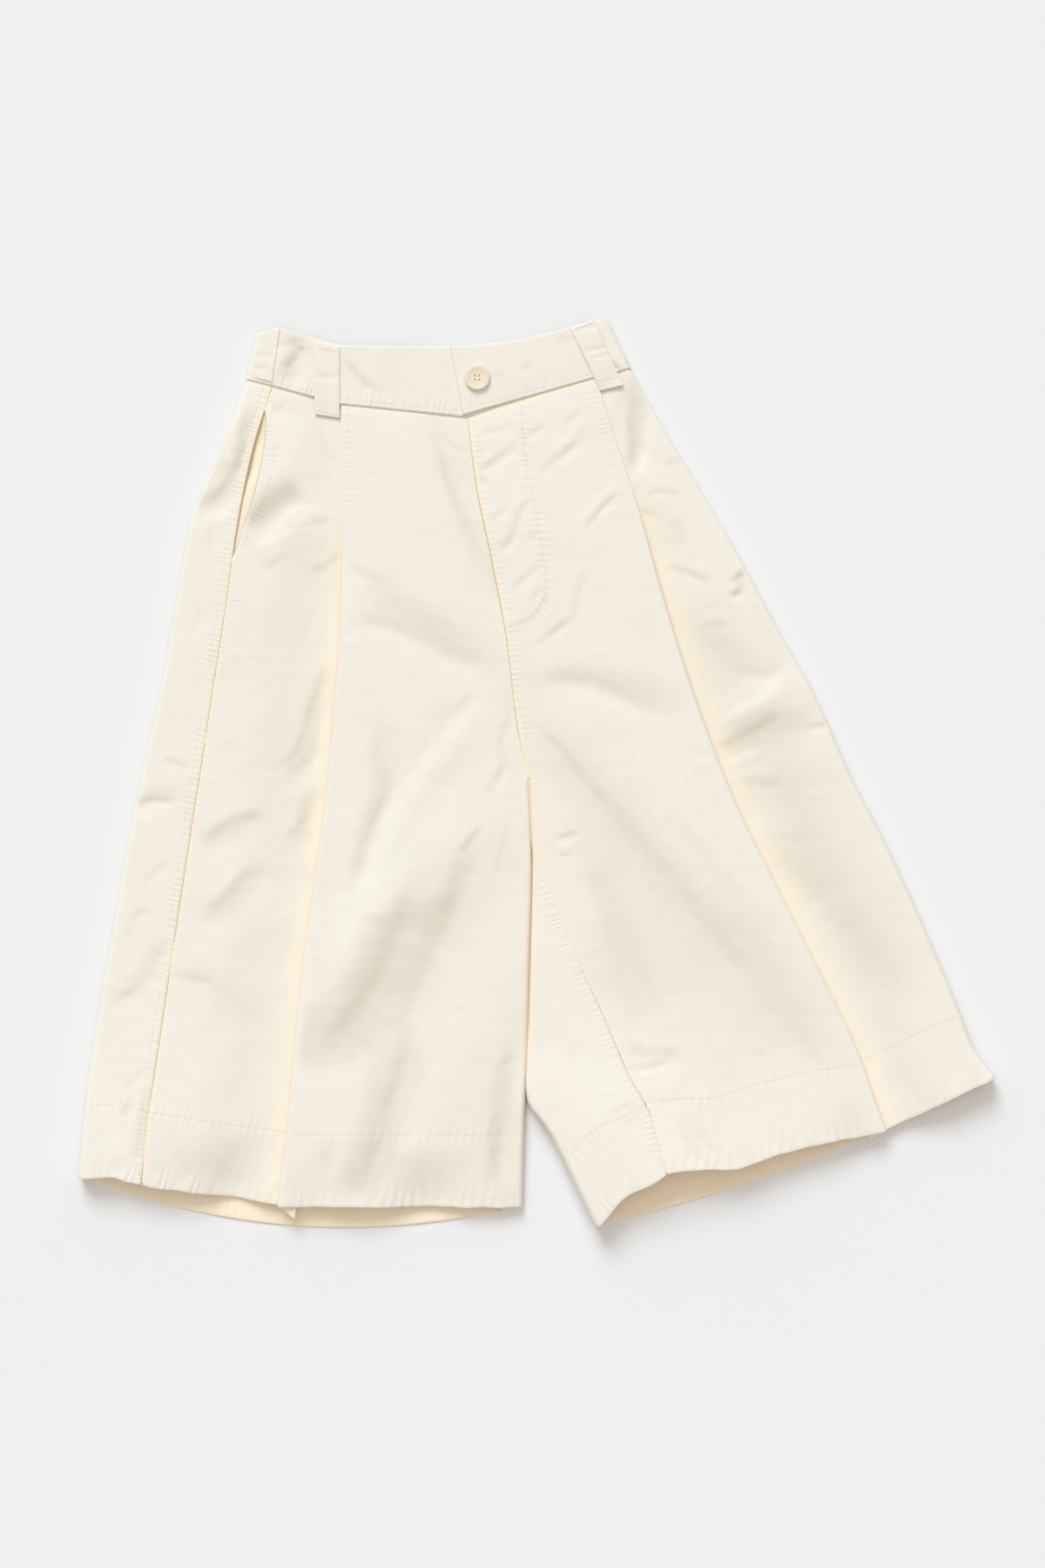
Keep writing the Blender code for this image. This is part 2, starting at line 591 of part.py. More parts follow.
def band_back(cloth):
    """Along the underside from the left side, past the centre, and up round the right side."""
    left, right = Half("left", 0.0), Half("right", 0.0)
    left_lines, right_lines = ("outer", "fold", "edge"), ("fold", "outer", "seam")
    rows = []
    for share in steps(BAND_ROWS):
        outer, fold, centre = (band_point(left, LEFT_BAND_TOP, n, share) for n in left_lines)
        far_fold, far, seam = (band_point(right, RIGHT_BAND_TOP, n, share) for n in right_lines)
        first = (BAND_ROUND + TURN_UNDER + SEAM_GAP) / np.linalg.norm(centre - outer)
        clear = SEAM_GAP * (1 - share)  # its low edge keeps off the panels' straight facets
        row = []
        for s in steps(BAND_CENTRE_COUNT, first, 1.0):
            sag = BACK_BAND_SAG * share * math.sin(math.pi * s)
            row.append((*(arc_line(outer, fold, centre, s) + np.array([0.0, clear - sag])), BAND / 2))
        stop = 1 - BAND_ROUND / np.linalg.norm(far - centre)
        shares = steps(BAND_CENTRE_COUNT, 0.0, stop)[1:-1]
        low = np.array([0.0, clear])
        row += [(*(arc_line(centre, far_fold, far, s) + low), BAND / 2) for s in shares]
        end = seam - toward(far, seam) * SEAM_GAP / 2
        row += band_rim(far, toward(far, seam), right.height["rim"]) + [(*end, right.height["seam"])]
        rows.append(row)
    sheet_of_cloth("band_back", rows, BAND, cloth)


# ---- What lies on the panels ---------------------------------------------------------------------
def fly(cloth):
    """The stitched fly with its round toe, made from the left front's own points, moved out."""
    lift = (CLOTH + PLY) / 2 + LIE_GAP
    rows = []
    for turn in steps(13, 0.0, math.pi / 2):
        half = Half("left", 2 * SEAM_GAP / LEG_LINE + FLY_LOW * math.sin(turn))
        start, end = half.fold, half.centre_end()
        rounding = max(0.0, (half.down - FLY_ROUND_FROM) / (FLY_END - FLY_ROUND_FROM))
        wide = FLY_TOE + (FLY_WIDE - FLY_TOE) * math.sqrt(max(0.0, 1 - rounding**2))
        row = []
        for s in steps(7):
            x, y, z = half.centre_point(1 - wide * s / np.linalg.norm(end - start), start, end)
            row.append((x, y, z + lift))
        rows.append(row)
    sheet_of_cloth("fly", rows, PLY, cloth)


def pocket_facing(cloth):
    """The cloth that shows inside the gaping mouth, from under the back's edge to under the front."""
    rows = []
    for down in steps(10, FACING_TOP, FACING_LOW):
        half = Half("right", down)
        across = toward(half.seam, half.fold)
        row = []
        for s in steps(8):
            plan = half.seam + across * (-FACING_OUT + (FACING_OUT + FACING_IN) * s)
            deep = FACING_DEEP * (1 + smooth(1.6 * s))
            height = half.height["seam"] + min(0.0, fold_height(*plan)) - deep
            row.append((*plan, max(LEAST_TOP, height)))
        rows.append(row)
    sheet_of_cloth("pocket_facing", rows, PLY, cloth)


def belt_loop(side, cloth):
    """A strap over the band. Its foot lies on the panel just below the waist seam, beside the pleat."""
    corners = Loop(*(np.array(corner, float) for corner in BELT_LOOPS[side]))
    waist, neighbour = Half(side, 0.0), "seam" if side == "right" else "outer"
    far_level = waist.height["seam" if side == "right" else "rim"]
    near, far = waist.fold, getattr(waist, neighbour)
    rows = []
    for share in LOOP_SHARES:
        row = []
        for s in steps(4):
            top = corners.top_out + (corners.top_in - corners.top_out) * s
            low = corners.low_out + (corners.low_in - corners.low_out) * s
            plan = top + (low - top) * share
            out = np.clip((near[0] - plan[0]) / (near[0] - far[0]), 0, 1)
            on_band = waist.height["fold"] + (far_level - waist.height["fold"]) * smooth(out)
            stand = LOOP_STAND * math.sin(math.pi * share / LOOP_SEAM) if share < LOOP_SEAM else 0.0
            step = smooth((share - LOOP_STEP) / (1 - LOOP_STEP))
            on_panel = max(waist.height["under"] + CLOTH + LIE_GAP, on_band - LOOP_FOOT_DROP)
            level = on_band + BAND / 2 + stand + (on_panel - on_band - BAND / 2 + CLOTH / 2) * step
            row.append((*plan, level + STRAP / 2 + LIE_GAP))
        rows.append(row)
    sheet_of_cloth("belt_loop_" + side, rows, STRAP, cloth)


def button(material):
    """A dished four-hole button, turned from its profile and drilled."""
    radius, thick = BUTTON_SIZE / 2, BUTTON_THICK
    rim = [(radius - point.from_rim, point.height * thick) for point in BUTTON_PROFILE]
    profile = [(0.0, 0.0), *rim, (0.0, BUTTON_DISH * thick)]
    mesh = bmesh.new()
    verts = [mesh.verts.new((r * MM, 0, z * MM)) for r, z in profile]
    edges = [mesh.edges.new(pair) for pair in zip(verts, verts[1:])]
    bmesh.ops.spin(mesh, geom=verts + edges, axis=(0, 0, 1), cent=(0, 0, 0), angle=2 * math.pi, steps=28)
    bmesh.ops.remove_doubles(mesh, verts=mesh.verts, dist=0.01 * MM)
    bmesh.ops.recalc_face_normals(mesh, faces=mesh.faces)
    disc = named_object("button", mesh, material)
    disc.data.shade_smooth()
    seat = Half("left", 0.0).height["right"] + BAND_STEP + BAND / 2 + LIE_GAP
    disc.location = Vector((*BUTTON_AT, seat)) * MM
    for i, (across, along) in enumerate(((-0.5, -0.5), (0.5, -0.5), (0.5, 0.5), (-0.5, 0.5))):
        place = Matrix.Translation(Vector((across, along, 0)) * BUTTON_HOLES_APART * MM)
        drill_mesh = bmesh.new()
        size = {"radius1": BUTTON_HOLE / 2 * MM, "radius2": BUTTON_HOLE / 2 * MM, "depth": 4 * thick * MM}
        bmesh.ops.create_cone(drill_mesh, cap_ends=True, segments=10, matrix=place, **size)
        drill = named_object(f"drill_{i}", drill_mesh, None)
        drill.location = disc.location
        drill.hide_render = True
        drill.display_type = "WIRE"
        cut = disc.modifiers.new(f"hole_{i}", "BOOLEAN")
        cut.operation = "DIFFERENCE"
        cut.object = drill


def main():
    clear_scene()
    cloth = finish_of("cream_cotton", (0.90, 0.86, 0.76), 0.9)
    cream = finish_of("cream_button", (0.86, 0.78, 0.66), 0.35)
    front_right(cloth)
    front_left(cloth)
    back_right(cloth)
    back_left(cloth)
    band_front_right(cloth)
    band_front_left(cloth)
    band_back(cloth)
    fly(cloth)
    pocket_facing(cloth)
    for side in BELT_LOOPS:
        belt_loop(side, cloth)
    button(cream)


main()
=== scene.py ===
"""Cream work shorts laid flat on their back, front up: the sewn cloth, its stitches and its button.

+Z is up, +Y runs from the hems to the waist, +X to the wearer's left. Sizes in the tables are in
millimetres; places of creases and stitch rows are in CHART units, read off and typed.
Each half is a stack of rows from the waist seam (down = 0) to the hem (down = 1).
"""

import json
import math
from collections import namedtuple

import bmesh
import bpy
import numpy as np
from bpy.props import FloatProperty, FloatVectorProperty, PointerProperty
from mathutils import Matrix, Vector
from mathutils.bvhtree import BVHTree

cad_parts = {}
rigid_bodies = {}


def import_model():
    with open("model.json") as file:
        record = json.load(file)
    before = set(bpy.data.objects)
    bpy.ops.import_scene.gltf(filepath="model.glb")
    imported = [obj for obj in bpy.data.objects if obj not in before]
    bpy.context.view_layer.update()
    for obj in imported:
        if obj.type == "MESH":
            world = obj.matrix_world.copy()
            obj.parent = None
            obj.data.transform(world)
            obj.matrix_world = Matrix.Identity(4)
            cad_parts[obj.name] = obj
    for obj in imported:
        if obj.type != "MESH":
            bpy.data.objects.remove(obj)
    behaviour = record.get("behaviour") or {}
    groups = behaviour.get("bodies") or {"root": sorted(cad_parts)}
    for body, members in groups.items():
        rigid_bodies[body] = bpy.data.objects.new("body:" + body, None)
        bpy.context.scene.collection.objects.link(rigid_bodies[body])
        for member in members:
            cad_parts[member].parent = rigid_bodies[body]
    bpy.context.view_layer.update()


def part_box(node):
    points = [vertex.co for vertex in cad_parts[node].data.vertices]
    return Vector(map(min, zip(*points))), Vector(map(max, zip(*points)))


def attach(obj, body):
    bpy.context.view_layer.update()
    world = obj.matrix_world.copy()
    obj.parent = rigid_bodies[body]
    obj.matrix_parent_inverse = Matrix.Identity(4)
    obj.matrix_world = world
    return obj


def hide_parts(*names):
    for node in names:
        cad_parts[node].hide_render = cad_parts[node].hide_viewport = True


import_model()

bl_info = {
    "name": "Work shorts laid flat",
    "version": (1, 0, 0),
    "blender": (4, 5, 0),
    "location": "View3D > Sidebar > Shorts",
    "description": "Sews the cloth, stitches and button of a pair of pleated work shorts",
    "category": "Object",
}

MM = 0.001
CHART, CHART_X, CHART_Y = 0.75, 615.5, 888.0  # millimetres to a chart unit, and the frame's origin on it


def by_column(names, *rows):
    """A table's columns by name: the rows' shares of the way down, and what stands there."""
    downs, *columns = zip(*rows)
    return {name: (downs, values) for name, values in zip(names.split(), columns)}


# ---- How the cloth lies ----
CLOTH_ON_FLOOR = 0.45  # middle of the cloth that lies on the floor
BAND_ON_FLOOR = 1.0
SEAM_GAP = 0.3
TURN_UNDER = 14.0  # how far a front or a band reaches round onto the underside before its seam
LEAST_TOP = 2.8  # the lowest that a fold may press the top cloth
CROTCH, CROTCH_STEP = 0.46, 0.003  # share of the way down where the legs part
INSEAM_SHOWS = 0.6  # and where the stitches between them come out of the fold
SIDE_ROUND, INNER_ROUND, CROTCH_ROUND = 6.0, 5.0, 1.5
LEGS_PART, LEGS_GAP = 0.85, 0.5  # down to here the legs lie this close
LEGS_PAINTED_SHADE, LEGS_PAINTED_CORE = 3.5, 2.4  # half the width of the strip of warm shade painted where they touch, and of its darker painted core
ROUND_GROWS, ROUND_MOST = 0.24, 0.45  # over this share the inner fold grows; a side fold to its height
BAND_ROUND = 4.0
PLY_APART = 0.9  # from the middle of one ply to the middle of the next
PLEAT_ROUND, PLEAT_PAINTED_SHADE = 1.7, 16.0  # of the pleat's edge, and how far beside it warm shade is painted into the cloth's colour
PLEAT_PRESSED = 1.9  # how far down its side lies where the pleat is stitched
WAIST_STEP, WAIST_FADE = 0.5, 0.035  # how much lower cloth lies at the waist seam; creases begin here
SEAM_CALM = 7.0  # creases die out this near a seam
SEAM_PAINTED_SHADE = 2.4  # how far beside a seam warm shade is painted into the cloth's colour
SEAM_STEP = 0.25  # how much lower the cloth that runs under a seam lies
SEAM_LAP = 0.9  # how far the upper cloth's edge reaches over it
SEAM_DIP = 1.2  # how much further down it goes once it is hidden
SEAM_TUCK = 6.0  # and how far it runs on
SEAM_RISE = 7.0  # it has come up again this far from the seam
OPEN_TURN, FLY_RUN = 10.0, 14.0  # how far an open edge is turned in, and cloth runs on under the fly
EDGE_SHARES = np.array([0.06, 0.2, 0.42, 0.7, 1.0])

RIGHT_PLAN = by_column(
    "outer seam fold",
    (0.00, (-249, 340.5), (-228, 335), (-168, 319)),
    (0.09, (-273, 278), (-246, 274), (-168, 256.5)),
    (0.18, (-298, 218), (-258, 212), (-166.5, 194)),
    (0.29, (-312, 141), (-268.5, 137), (-169, 118.5)),
    (0.38, (-323, 79.5), (-278, 76.5), (-174, 56)),
    (0.46, (-335, 24), (-286, 22), (-178.5, 1.5)),
    (0.57, (-349, -42), (-296, -42), (-187.5, -74)),
    (0.68, (-364, -127.5), (-309, -128), (-199, -151)),
    (0.80, (-378.5, -210), (-321, -210), (-207.5, -233)),
    (0.91, (-389, -285), (-331.5, -284), (-213.5, -302)),
    (1.00, (-395, -347), (-339, -353), (-222, -371)),
)
LEFT_PLAN = by_column(
    "fold outer",
    (0.00, (51, 342), (81, 350)),
    (0.09, (70, 283.5), (111.5, 295)),
    (0.18, (89, 225), (145.5, 239)),
    (0.29, (109, 154), (183, 173)),
    (0.38, (127, 95), (212.5, 118)),
    (0.46, (147, 37), (240, 69)),
    (0.57, (173, -28), (270, 2)),
    (0.68, (208, -99), (306.5, -70)),
    (0.80, (247, -177), (338, -140)),
    (0.91, (277, -240), (365, -205)),
    (0.96, (291, -279), (377, -236)),
    (1.00, (301, -307), (395, -260)),
)
CENTRE_FRONT = by_column(
    "line",
    (0.00, (-58.5, 308)),
    (0.09, (-50.5, 247)),
    (0.18, (-38, 186)),
    (0.29, (-24, 111)),
    (0.38, (-16.5, 47)),
    (0.46, (-6.6, -5)),
)
INNER_PLAN = by_column(
    "right left inseam",
    (0.46, (-6.8, -6), (-5.1, -6), (-1.5, -5)),
    (0.57, (-3.8, -80), (-2.0, -76), (3.5, -72)),
    (0.68, (-5.3, -154.5), (-3.4, -146), (26, -138)),
    (0.80, (-7.5, -236), (-5.7, -222), (61, -216)),
    (0.87, (-9.5, -284), (-5, -276), (82, -264)),
    (0.93, (-11, -325), (16, -318), (99, -296)),
    (1.00, (-12, -373), (51, -390), (111, -342)),
)

RIGHT_HEIGHT = by_column(
    "rim seam under fold crown",
    (0.00, 9, 10, 7.6, 11, 11),
    (0.09, 10, 12, 8.2, 12, 13),
    (0.18, 11, 13, 8.0, 13, 14),
    (0.29, 11, 13, 7.0, 14, 15),
    (0.57, 11, 13, 7.5, 14, 15),
    (0.80, 13, 15, 9.0, 15, 17),
    (1.00, 20, 22, 11.0, 17.5, 19),
)
LEFT_HEIGHT = by_column(
    "rim under fold crown",
    (0.00, 9, 7.6, 11, 11),
    (0.09, 9.5, 8.2, 12, 13),
    (0.18, 10, 8.0, 13, 14),
    (0.29, 11, 6.5, 14, 14),
    (0.57, 12, 6.0, 15, 15),
    (0.80, 15, 7.0, 15, 17),
    (1.00, 22, 9.0, 15.5, 24),
)
INNER_HEIGHT = by_column(
    "right left inseam",
    (0.00, 9.6, 10.2, 10.2),
    (0.18, 10.2, 11, 11),
    (0.29, 10.4, 11, 11),
    (0.46, 11.2, 11, 11),
    (0.57, 13, 10, 11),
    (0.68, 14, 11, 12),
    (0.80, 13, 13, 15),
    (0.91, 11, 19, 23),
    (1.00, 9, 24, 30),
)

RIGHT_BAND_TOP = {"outer": (-241, 379), "seam": (-221, 383), "fold": (-169, 368), "inner": (-74, 367.5)}
LEFT_BAND_TOP = {"inner": (-74, 367.5), "edge": (-72, 367.5), "fold": (40, 387), "outer": (61, 391.5)}
LEFT_BAND_CORNER = (-63.5, 309.5)
FRONT_BAND_SAG, BACK_BAND_SAG = 5.0, 3.0
BAND_OVERLAP, BAND_STEP = 22.0, 1.9

PLEAT_DEPTH_WAIST, PLEAT_DEPTH_HEM = 28.0, 13.0
PLEAT_HANG = {"right": 11.0, "left": 5.0}
HANG_GROWS, STITCHED = 0.6, 0.135
SINK_FROM, SINK_TO, FADE_FROM, FADE_TO, CENTRE_FADE = 0.3, 0.9, 0.6, 0.95, 40.0

BACK_DROP = {"right": 18.0, "left": 0.0}
BACK_DROP_FROM, HEM_FROM = 0.7, 0.84
HemWave = namedtuple("HemWave", "x wide drop")
HEM_WAVES = (HemWave(173, 28, 7.5), HemWave(76, 17, -9), HemWave(-362, 16, -4))

HEM_LOWS = (HemWave(-245, 60, 12.0), HemWave(-97, 34, 10.5), HemWave(292, 22, 7.0))  # where it lies down
HEM_LOW_FROM = 0.925

MOUTH_TOP, MOUTH_LOW, MOUTH_WIDE, MOUTH_LIFT = 0.03, 0.225, 11.0, 1.5
FACING_OUT, FACING_IN, FACING_TOP, FACING_LOW, FACING_DEEP = 8.0, 42.0, 0.015, 0.285, 0.9

Loop = namedtuple("Loop", "top_out top_in low_out low_in")
BELT_LOOPS = {
    "right": Loop((-191, 372.5), (-169.5, 367), (-190, 309), (-169.5, 306)),
    "left": Loop((49, 390.5), (30, 383), (75, 334), (56, 329.5)),
}
LOOP_STAND, LOOP_STEP, LOOP_SEAM, LOOP_FOOT_DROP, LIE_GAP = 0.5, 0.8, 0.87, 1.5, 0.1
LOOP_WALL, LOOP_EDGE, LOOP_ACROSS, LOOP_ALONG = 1.0, 0.5, 9, 46
LOOP_DENTS = {  # on the chart, then half their width and their rise
    "right": (
        ((379, 397), (378, 433), (379, 470), 2.6, -0.5),
        ((366, 433), (378, 434), (391, 432), 2.6, -0.5),
    ),
    "left": (
        ((664, 379), (676, 377), (688, 376), 2.4, -0.5),
        ((676, 403), (688, 401), (700, 397), 2.4, -0.6),
        ((682, 411), (692, 409), (702, 407), 2.0, -0.4),
    ),
}
BAND_ROWS = 26
BAND_LAP = 0.022  # share of its depth by which the band reaches down over the panels' edges

# ---- The main folds, in millimetres: a soft ridge (rise above 0) or trough along a bent line ----
Fold = namedtuple("Fold", "what start bend end wide rise")
FOLDS = (
    Fold("valley beside the fly", (-86, 298), (-68, 245), (-32, 141), 10, -3.0),
    Fold("right thigh ridge", (-40, -30), (-133, -120), (-188, -250), 28, 4.0),
    Fold("right thigh valley", (-12, -70), (-82, -170), (-140, -320), 24, -3.0),
    Fold("right hip valley", (-160, 175), (-120, 141), (-52, 84), 20, -2.5),
    Fold("left long valley", (-3, 46), (92, -84), (236, -237), 30, -4.5),
    Fold("left knee valley", (39, -73), (72, -130), (93, -245), 20, -3.0),
    Fold("left side ridge", (151, 40), (185, 57), (216, 76), 17, 3.0),
    Fold("left side valley", (168, 10), (205, 26), (250, 41), 17, -1.4),
    Fold("right pocket valley", (-256, 283), (-272, 255), (-291, 229), 12, -3.0),
    Fold("left hip valley", (82, 325), (86, 291), (92, 257), 10, -2.5),
    Fold("pocket dent", (-199, 240), (-224, 222), (-248, 207), 14, -2.5),
)
FOLD_STEPS = 24

# ---- Creases: for each part, half their width and their rise in millimetres, then their line ----
Crease = namedtuple("Crease", "part wide rise line")
CREASES = []


def creases(part, *rows):
    """Notes creases that are pressed into one part."""
    CREASES.extend(Crease(part, wide, rise, line) for wide, rise, *line in rows)


# The broad swells and hollows of the legs and the front.
creases(
    "right_centre",
    (34, -6, (480, 1010), (462, 1060), (436, 1112), (405, 1162), (378, 1200), (360, 1250)),
    (15, -2.2, (552, 948), (528, 1000), (505, 1055), (480, 1115), (462, 1170)),
    (20, -5.4, (462, 1190), (452, 1250), (436, 1300), (418, 1340), (400, 1385)),
    (12, -2.4, (588, 1180), (578, 1240), (572, 1300), (560, 1370)),
    (16, -1.1, (400, 690), (440, 694), (500, 722), (550, 750), (588, 768)),
    (13, -1.8, (432, 800), (440, 870), (430, 930), (414, 990), (400, 1040)),
)
creases(
    "left_centre",
    (16, -1.5, (618, 772), (680, 776), (740, 792), (800, 825)),
    (18, -1.1, (612, 828), (690, 915), (770, 1015), (860, 1130), (930, 1205), (985, 1262)),
    (32, -2, (820, 1030), (880, 1120), (940, 1230)),
    (60, -1.4, (700, 1050), (800, 1180), (870, 1280)),
    (12, -2, (672, 980), (702, 1040), (728, 1110), (745, 1190)),
    (8, -1.6, (716, 1194), (744, 1210), (786, 1206)),
)
creases(
    "left_side",
    (15, -1, (770, 700), (820, 735), (870, 765), (902, 752)),
    (13, -0.9, (812, 868), (850, 850), (890, 828), (945, 826)),
    (34, -2.6, (780, 660), (850, 800), (900, 900), (960, 1010), (1020, 1110), (1080, 1230)),
    (18, -1.6, (870, 960), (930, 1010), (990, 1080), (1040, 1160)),
)
creases(
    "right_side",
    (11, -2.4, (372, 760), (360, 820), (345, 875), (318, 895)),
    (11, -2.2, (362, 895), (352, 940), (338, 980)),
    (12, -1.6, (305, 930), (265, 950), (228, 975)),
    (14, -1.6, (305, 985), (262, 1035), (228, 1060)),
    (16, -1.4, (200, 1110), (260, 1140), (300, 1190)),
)
creases(
    "right_back",
    (11, -5, (292, 462), (284, 510), (262, 560), (222, 590)),
    (9, -1.6, (150, 925), (180, 912), (206, 918)),
    (9, -2.4, (180, 1235), (170, 1280), (158, 1340)),
    (11, -1.4, (190, 1070), (165, 1120), (120, 1160)),
)
# The waistband.
creases(
    "right_band",
    (5, -2.6, (333, 388), (341, 397), (337, 410), (322, 425)),
    (3, -1, (357, 395), (360, 415)),
    (10, -3.4, (330, 380), (337, 400), (334, 420), (326, 442)),
    (5, -1.3, (392, 407), (410, 430), (430, 447), (435, 460)),
    (4, -1, (397, 412), (415, 435), (417, 455)),
    (3, -0.8, (441, 405), (441, 422)),
    (3, -0.8, (457, 407), (458, 425)),
    (3, -0.9, (289, 405), (313, 405)),
    (3, -0.8, (289, 420), (312, 421)),
    (2.2, 0.5, (495, 461), (497, 479)),
)
creases(
    "left_band",
    (5, -0.8, (595, 425), (612, 415)),
    (5, -0.8, (640, 392), (660, 387)),
)
# The right front between its pleat and the fly, and its leg.
creases(
    "right_centre",
    (3.4, -1.9, (495, 485), (505, 520), (520, 567), (535, 602), (552, 635), (565, 657), (575, 692),
     (578, 718)),
    (2.6, -0.9, (505, 520), (520, 567), (535, 602), (552, 635)),
    (5, 0.9, (508, 488), (520, 525), (535, 568), (548, 600)),
    (3, -0.8, (502, 497), (535, 520)),
    (6, -0.9, (400, 645), (445, 675)),
    (9, -1.5, (391, 727), (411, 711), (451, 717), (494, 737), (566, 769)),
    (5, 0.8, (390, 734), (412, 736)),
    (7, -1.5, (437, 831), (431, 871), (443, 906), (423, 951), (411, 994), (403, 1034)),
    (3.5, -0.9, (474, 877), (460, 894)),
    (13, 1.5, (566, 794), (480, 894), (423, 1008)),
    (5, -0.9, (543, 794), (520, 823)),
    (5, -1.5, (589, 809), (583, 826), (574, 849), (577, 877), (566, 900), (554, 917)),
    (4.5, -1.7, (554, 946), (540, 963), (526, 983)),
    (4, -1.1, (583, 940), (577, 966), (566, 1014)),
    (4, 0.8, (560, 929), (557, 974)),
    (9, -1.1, (494, 971), (480, 1003), (466, 1029), (454, 1060), (440, 1100), (409, 1154), (380, 1189),
     (369, 1220), (354, 1260)),
    (8, -1, (534, 991), (520, 1031), (506, 1069), (486, 1117), (463, 1166), (463, 1194), (460, 1220),
     (449, 1254), (429, 1286)),
    (7, -1.2, (463, 1166), (463, 1194), (460, 1220), (449, 1254), (429, 1286)),
    (4, -0.9, (591, 1208), (571, 1226)),
    (8, -1.3, (380, 1300), (374, 1346)),
    (5, -1.1, (434, 1303), (420, 1346)),
    (4, -0.9, (454, 1303), (449, 1326)),
    (7, -0.9, (540, 1309), (537, 1351)),
    (6, -1.8, (570, 1271), (568, 1310), (569, 1363)),
)
# The right front beside its pocket, down to the hem.
creases(
    "right_side",
    (3.5, -1.1, (332, 457), (312, 475)),
    (5, -1.5, (362, 480), (377, 520), (390, 535)),
    (5, -0.7, (352, 498), (353, 522)),
    (15, -3, (352, 556), (322, 568), (297, 590), (277, 612)),
    (5, 1.1, (315, 602), (345, 582), (385, 592)),
    (5, 0.9, (287, 630), (320, 615), (345, 607)),
    (2.6, -0.9, (320, 607), (350, 602), (387, 595)),
    (4.5, -1.7, (395, 625), (380, 645), (355, 657)),
    (4.5, -1, (332, 632), (300, 655)),
    (5, -0.8, (352, 705), (350, 735)),
    (3, -1.6, (374, 746), (366, 783), (354, 820), (340, 860), (331, 871), (309, 886)),
    (5, -0.9, (366, 854), (349, 883)),
    (4.5, -1.5, (351, 920), (346, 943), (326, 966)),
    (5, -1.2, (303, 934), (263, 943), (234, 969)),
    (5, -1.2, (291, 994), (251, 1037), (234, 1049)),
    (5, 0.7, (283, 984), (243, 1027)),
    (4, -1.1, (343, 994), (357, 1023), (351, 1071)),
    (4, -0.8, (202, 1120), (248, 1126)),
    (4.5, -1, (209, 1317), (214, 1351)),
)
# The back, where it comes up round the right side.
creases(
    "right_back",
    (6, -2.2, (287, 455), (280, 485), (277, 520), (265, 545), (247, 567), (222, 586)),
    (5, 0.9, (276, 458), (268, 490), (262, 520), (250, 543)),
    (4, -1, (242, 600), (242, 642)),
    (4, -0.9, (230, 692), (222, 730)),
    (4, -1, (186, 869), (220, 880)),
    (3.5, -1.6, (154, 926), (174, 917), (203, 921)),
    (4, 0.9, (157, 936), (180, 945)),
    (4.5, -1.1, (194, 986), (160, 1017)),
    (4.5, -1.1, (177, 1049), (157, 1049), (143, 1083)),
    (4, -1, (163, 1128), (137, 1146)),
    (4, -1.1, (163, 1226), (146, 1249)),
    (4, -1.5, (154, 1260), (141, 1283)),
    (3.5, -1.1, (146, 1289), (139, 1306)),
)
# The left front: over the fly, from the fly to the pleat, and the leg.
creases(
    "left_centre",
    (4, -1, (545, 497), (597, 486)),
    (4.5, -1.6, (595, 507), (572, 525), (547, 542)),
    (3.5, -0.9, (545, 550), (565, 552)),
    (4, -1, (582, 580), (560, 600)),
    (4.5, -1.7, (610, 567), (595, 590), (585, 620), (565, 634)),
    (3.5, -1, (620, 610), (602, 620)),
    (4, -1.2, (620, 642), (612, 655), (592, 672), (595, 685)),
    (3.5, -1, (627, 675), (615, 680), (610, 695)),
    (4, 0.7, (634, 676), (633, 695), (620, 714)),
    (4.5, -1.3, (682, 495), (652, 516), (627, 535), (620, 555)),
    (4, -1, (665, 470), (645, 490)),
    (4, -1, (627, 485), (605, 500)),
    (3, -0.8, (673, 488), (640, 528)),
    (3.2, -1.7, (713, 561), (690, 584), (667, 613)),
    (4, 0.7, (706, 553), (683, 575), (661, 600)),
    (4.5, -0.8, (620, 582), (640, 602)),
    (5, -1.1, (675, 645), (665, 675), (655, 710), (620, 732)),
    (3.5, -1, (654, 706), (634, 726), (609, 743)),
    (8, -1.3, (606, 774), (683, 783), (743, 811), (771, 820)),
    (9, -1.3, (611, 826), (646, 860), (680, 906), (720, 951), (760, 997), (806, 1054), (846, 1100),
     (876, 1137), (904, 1174), (933, 1208), (967, 1254)),
    (4.5, -1.2, (611, 826), (646, 860), (680, 906), (705, 934)),
    (8, -1, (760, 923), (806, 974), (860, 1043)),
    (3.5, -1.4, (637, 963), (666, 954)),
    (3.5, -1, (649, 937), (651, 963)),
    (3.5, 0.7, (638, 971), (654, 971)),
    (3, -0.8, (640, 981), (657, 981)),
    (7, -1.5, (680, 1006), (694, 1043), (714, 1086), (733, 1131), (738, 1197)),
    (3.5, -1.3, (719, 1222), (738, 1225), (770, 1216)),
    (4, 0.8, (734, 1232), (750, 1232)),
    (6, -0.8, (861, 1200), (893, 1220)),
    (5, 0.8, (794, 871), (817, 877)),
    (5, -1.8, (776, 1271), (787, 1300), (801, 1331)),
    (4.5, -1.3, (796, 1271), (807, 1300), (824, 1317)),
    (4, -1.1, (853, 1306), (864, 1334)),
)
# The back, where it comes up between the legs.
creases(
    "left_back",
    (5, -0.9, (658, 1191), (653, 1226)),
    (4, -1, (719, 1266), (704, 1283)),
    (4, -1, (719, 1266), (720, 1303)),
)
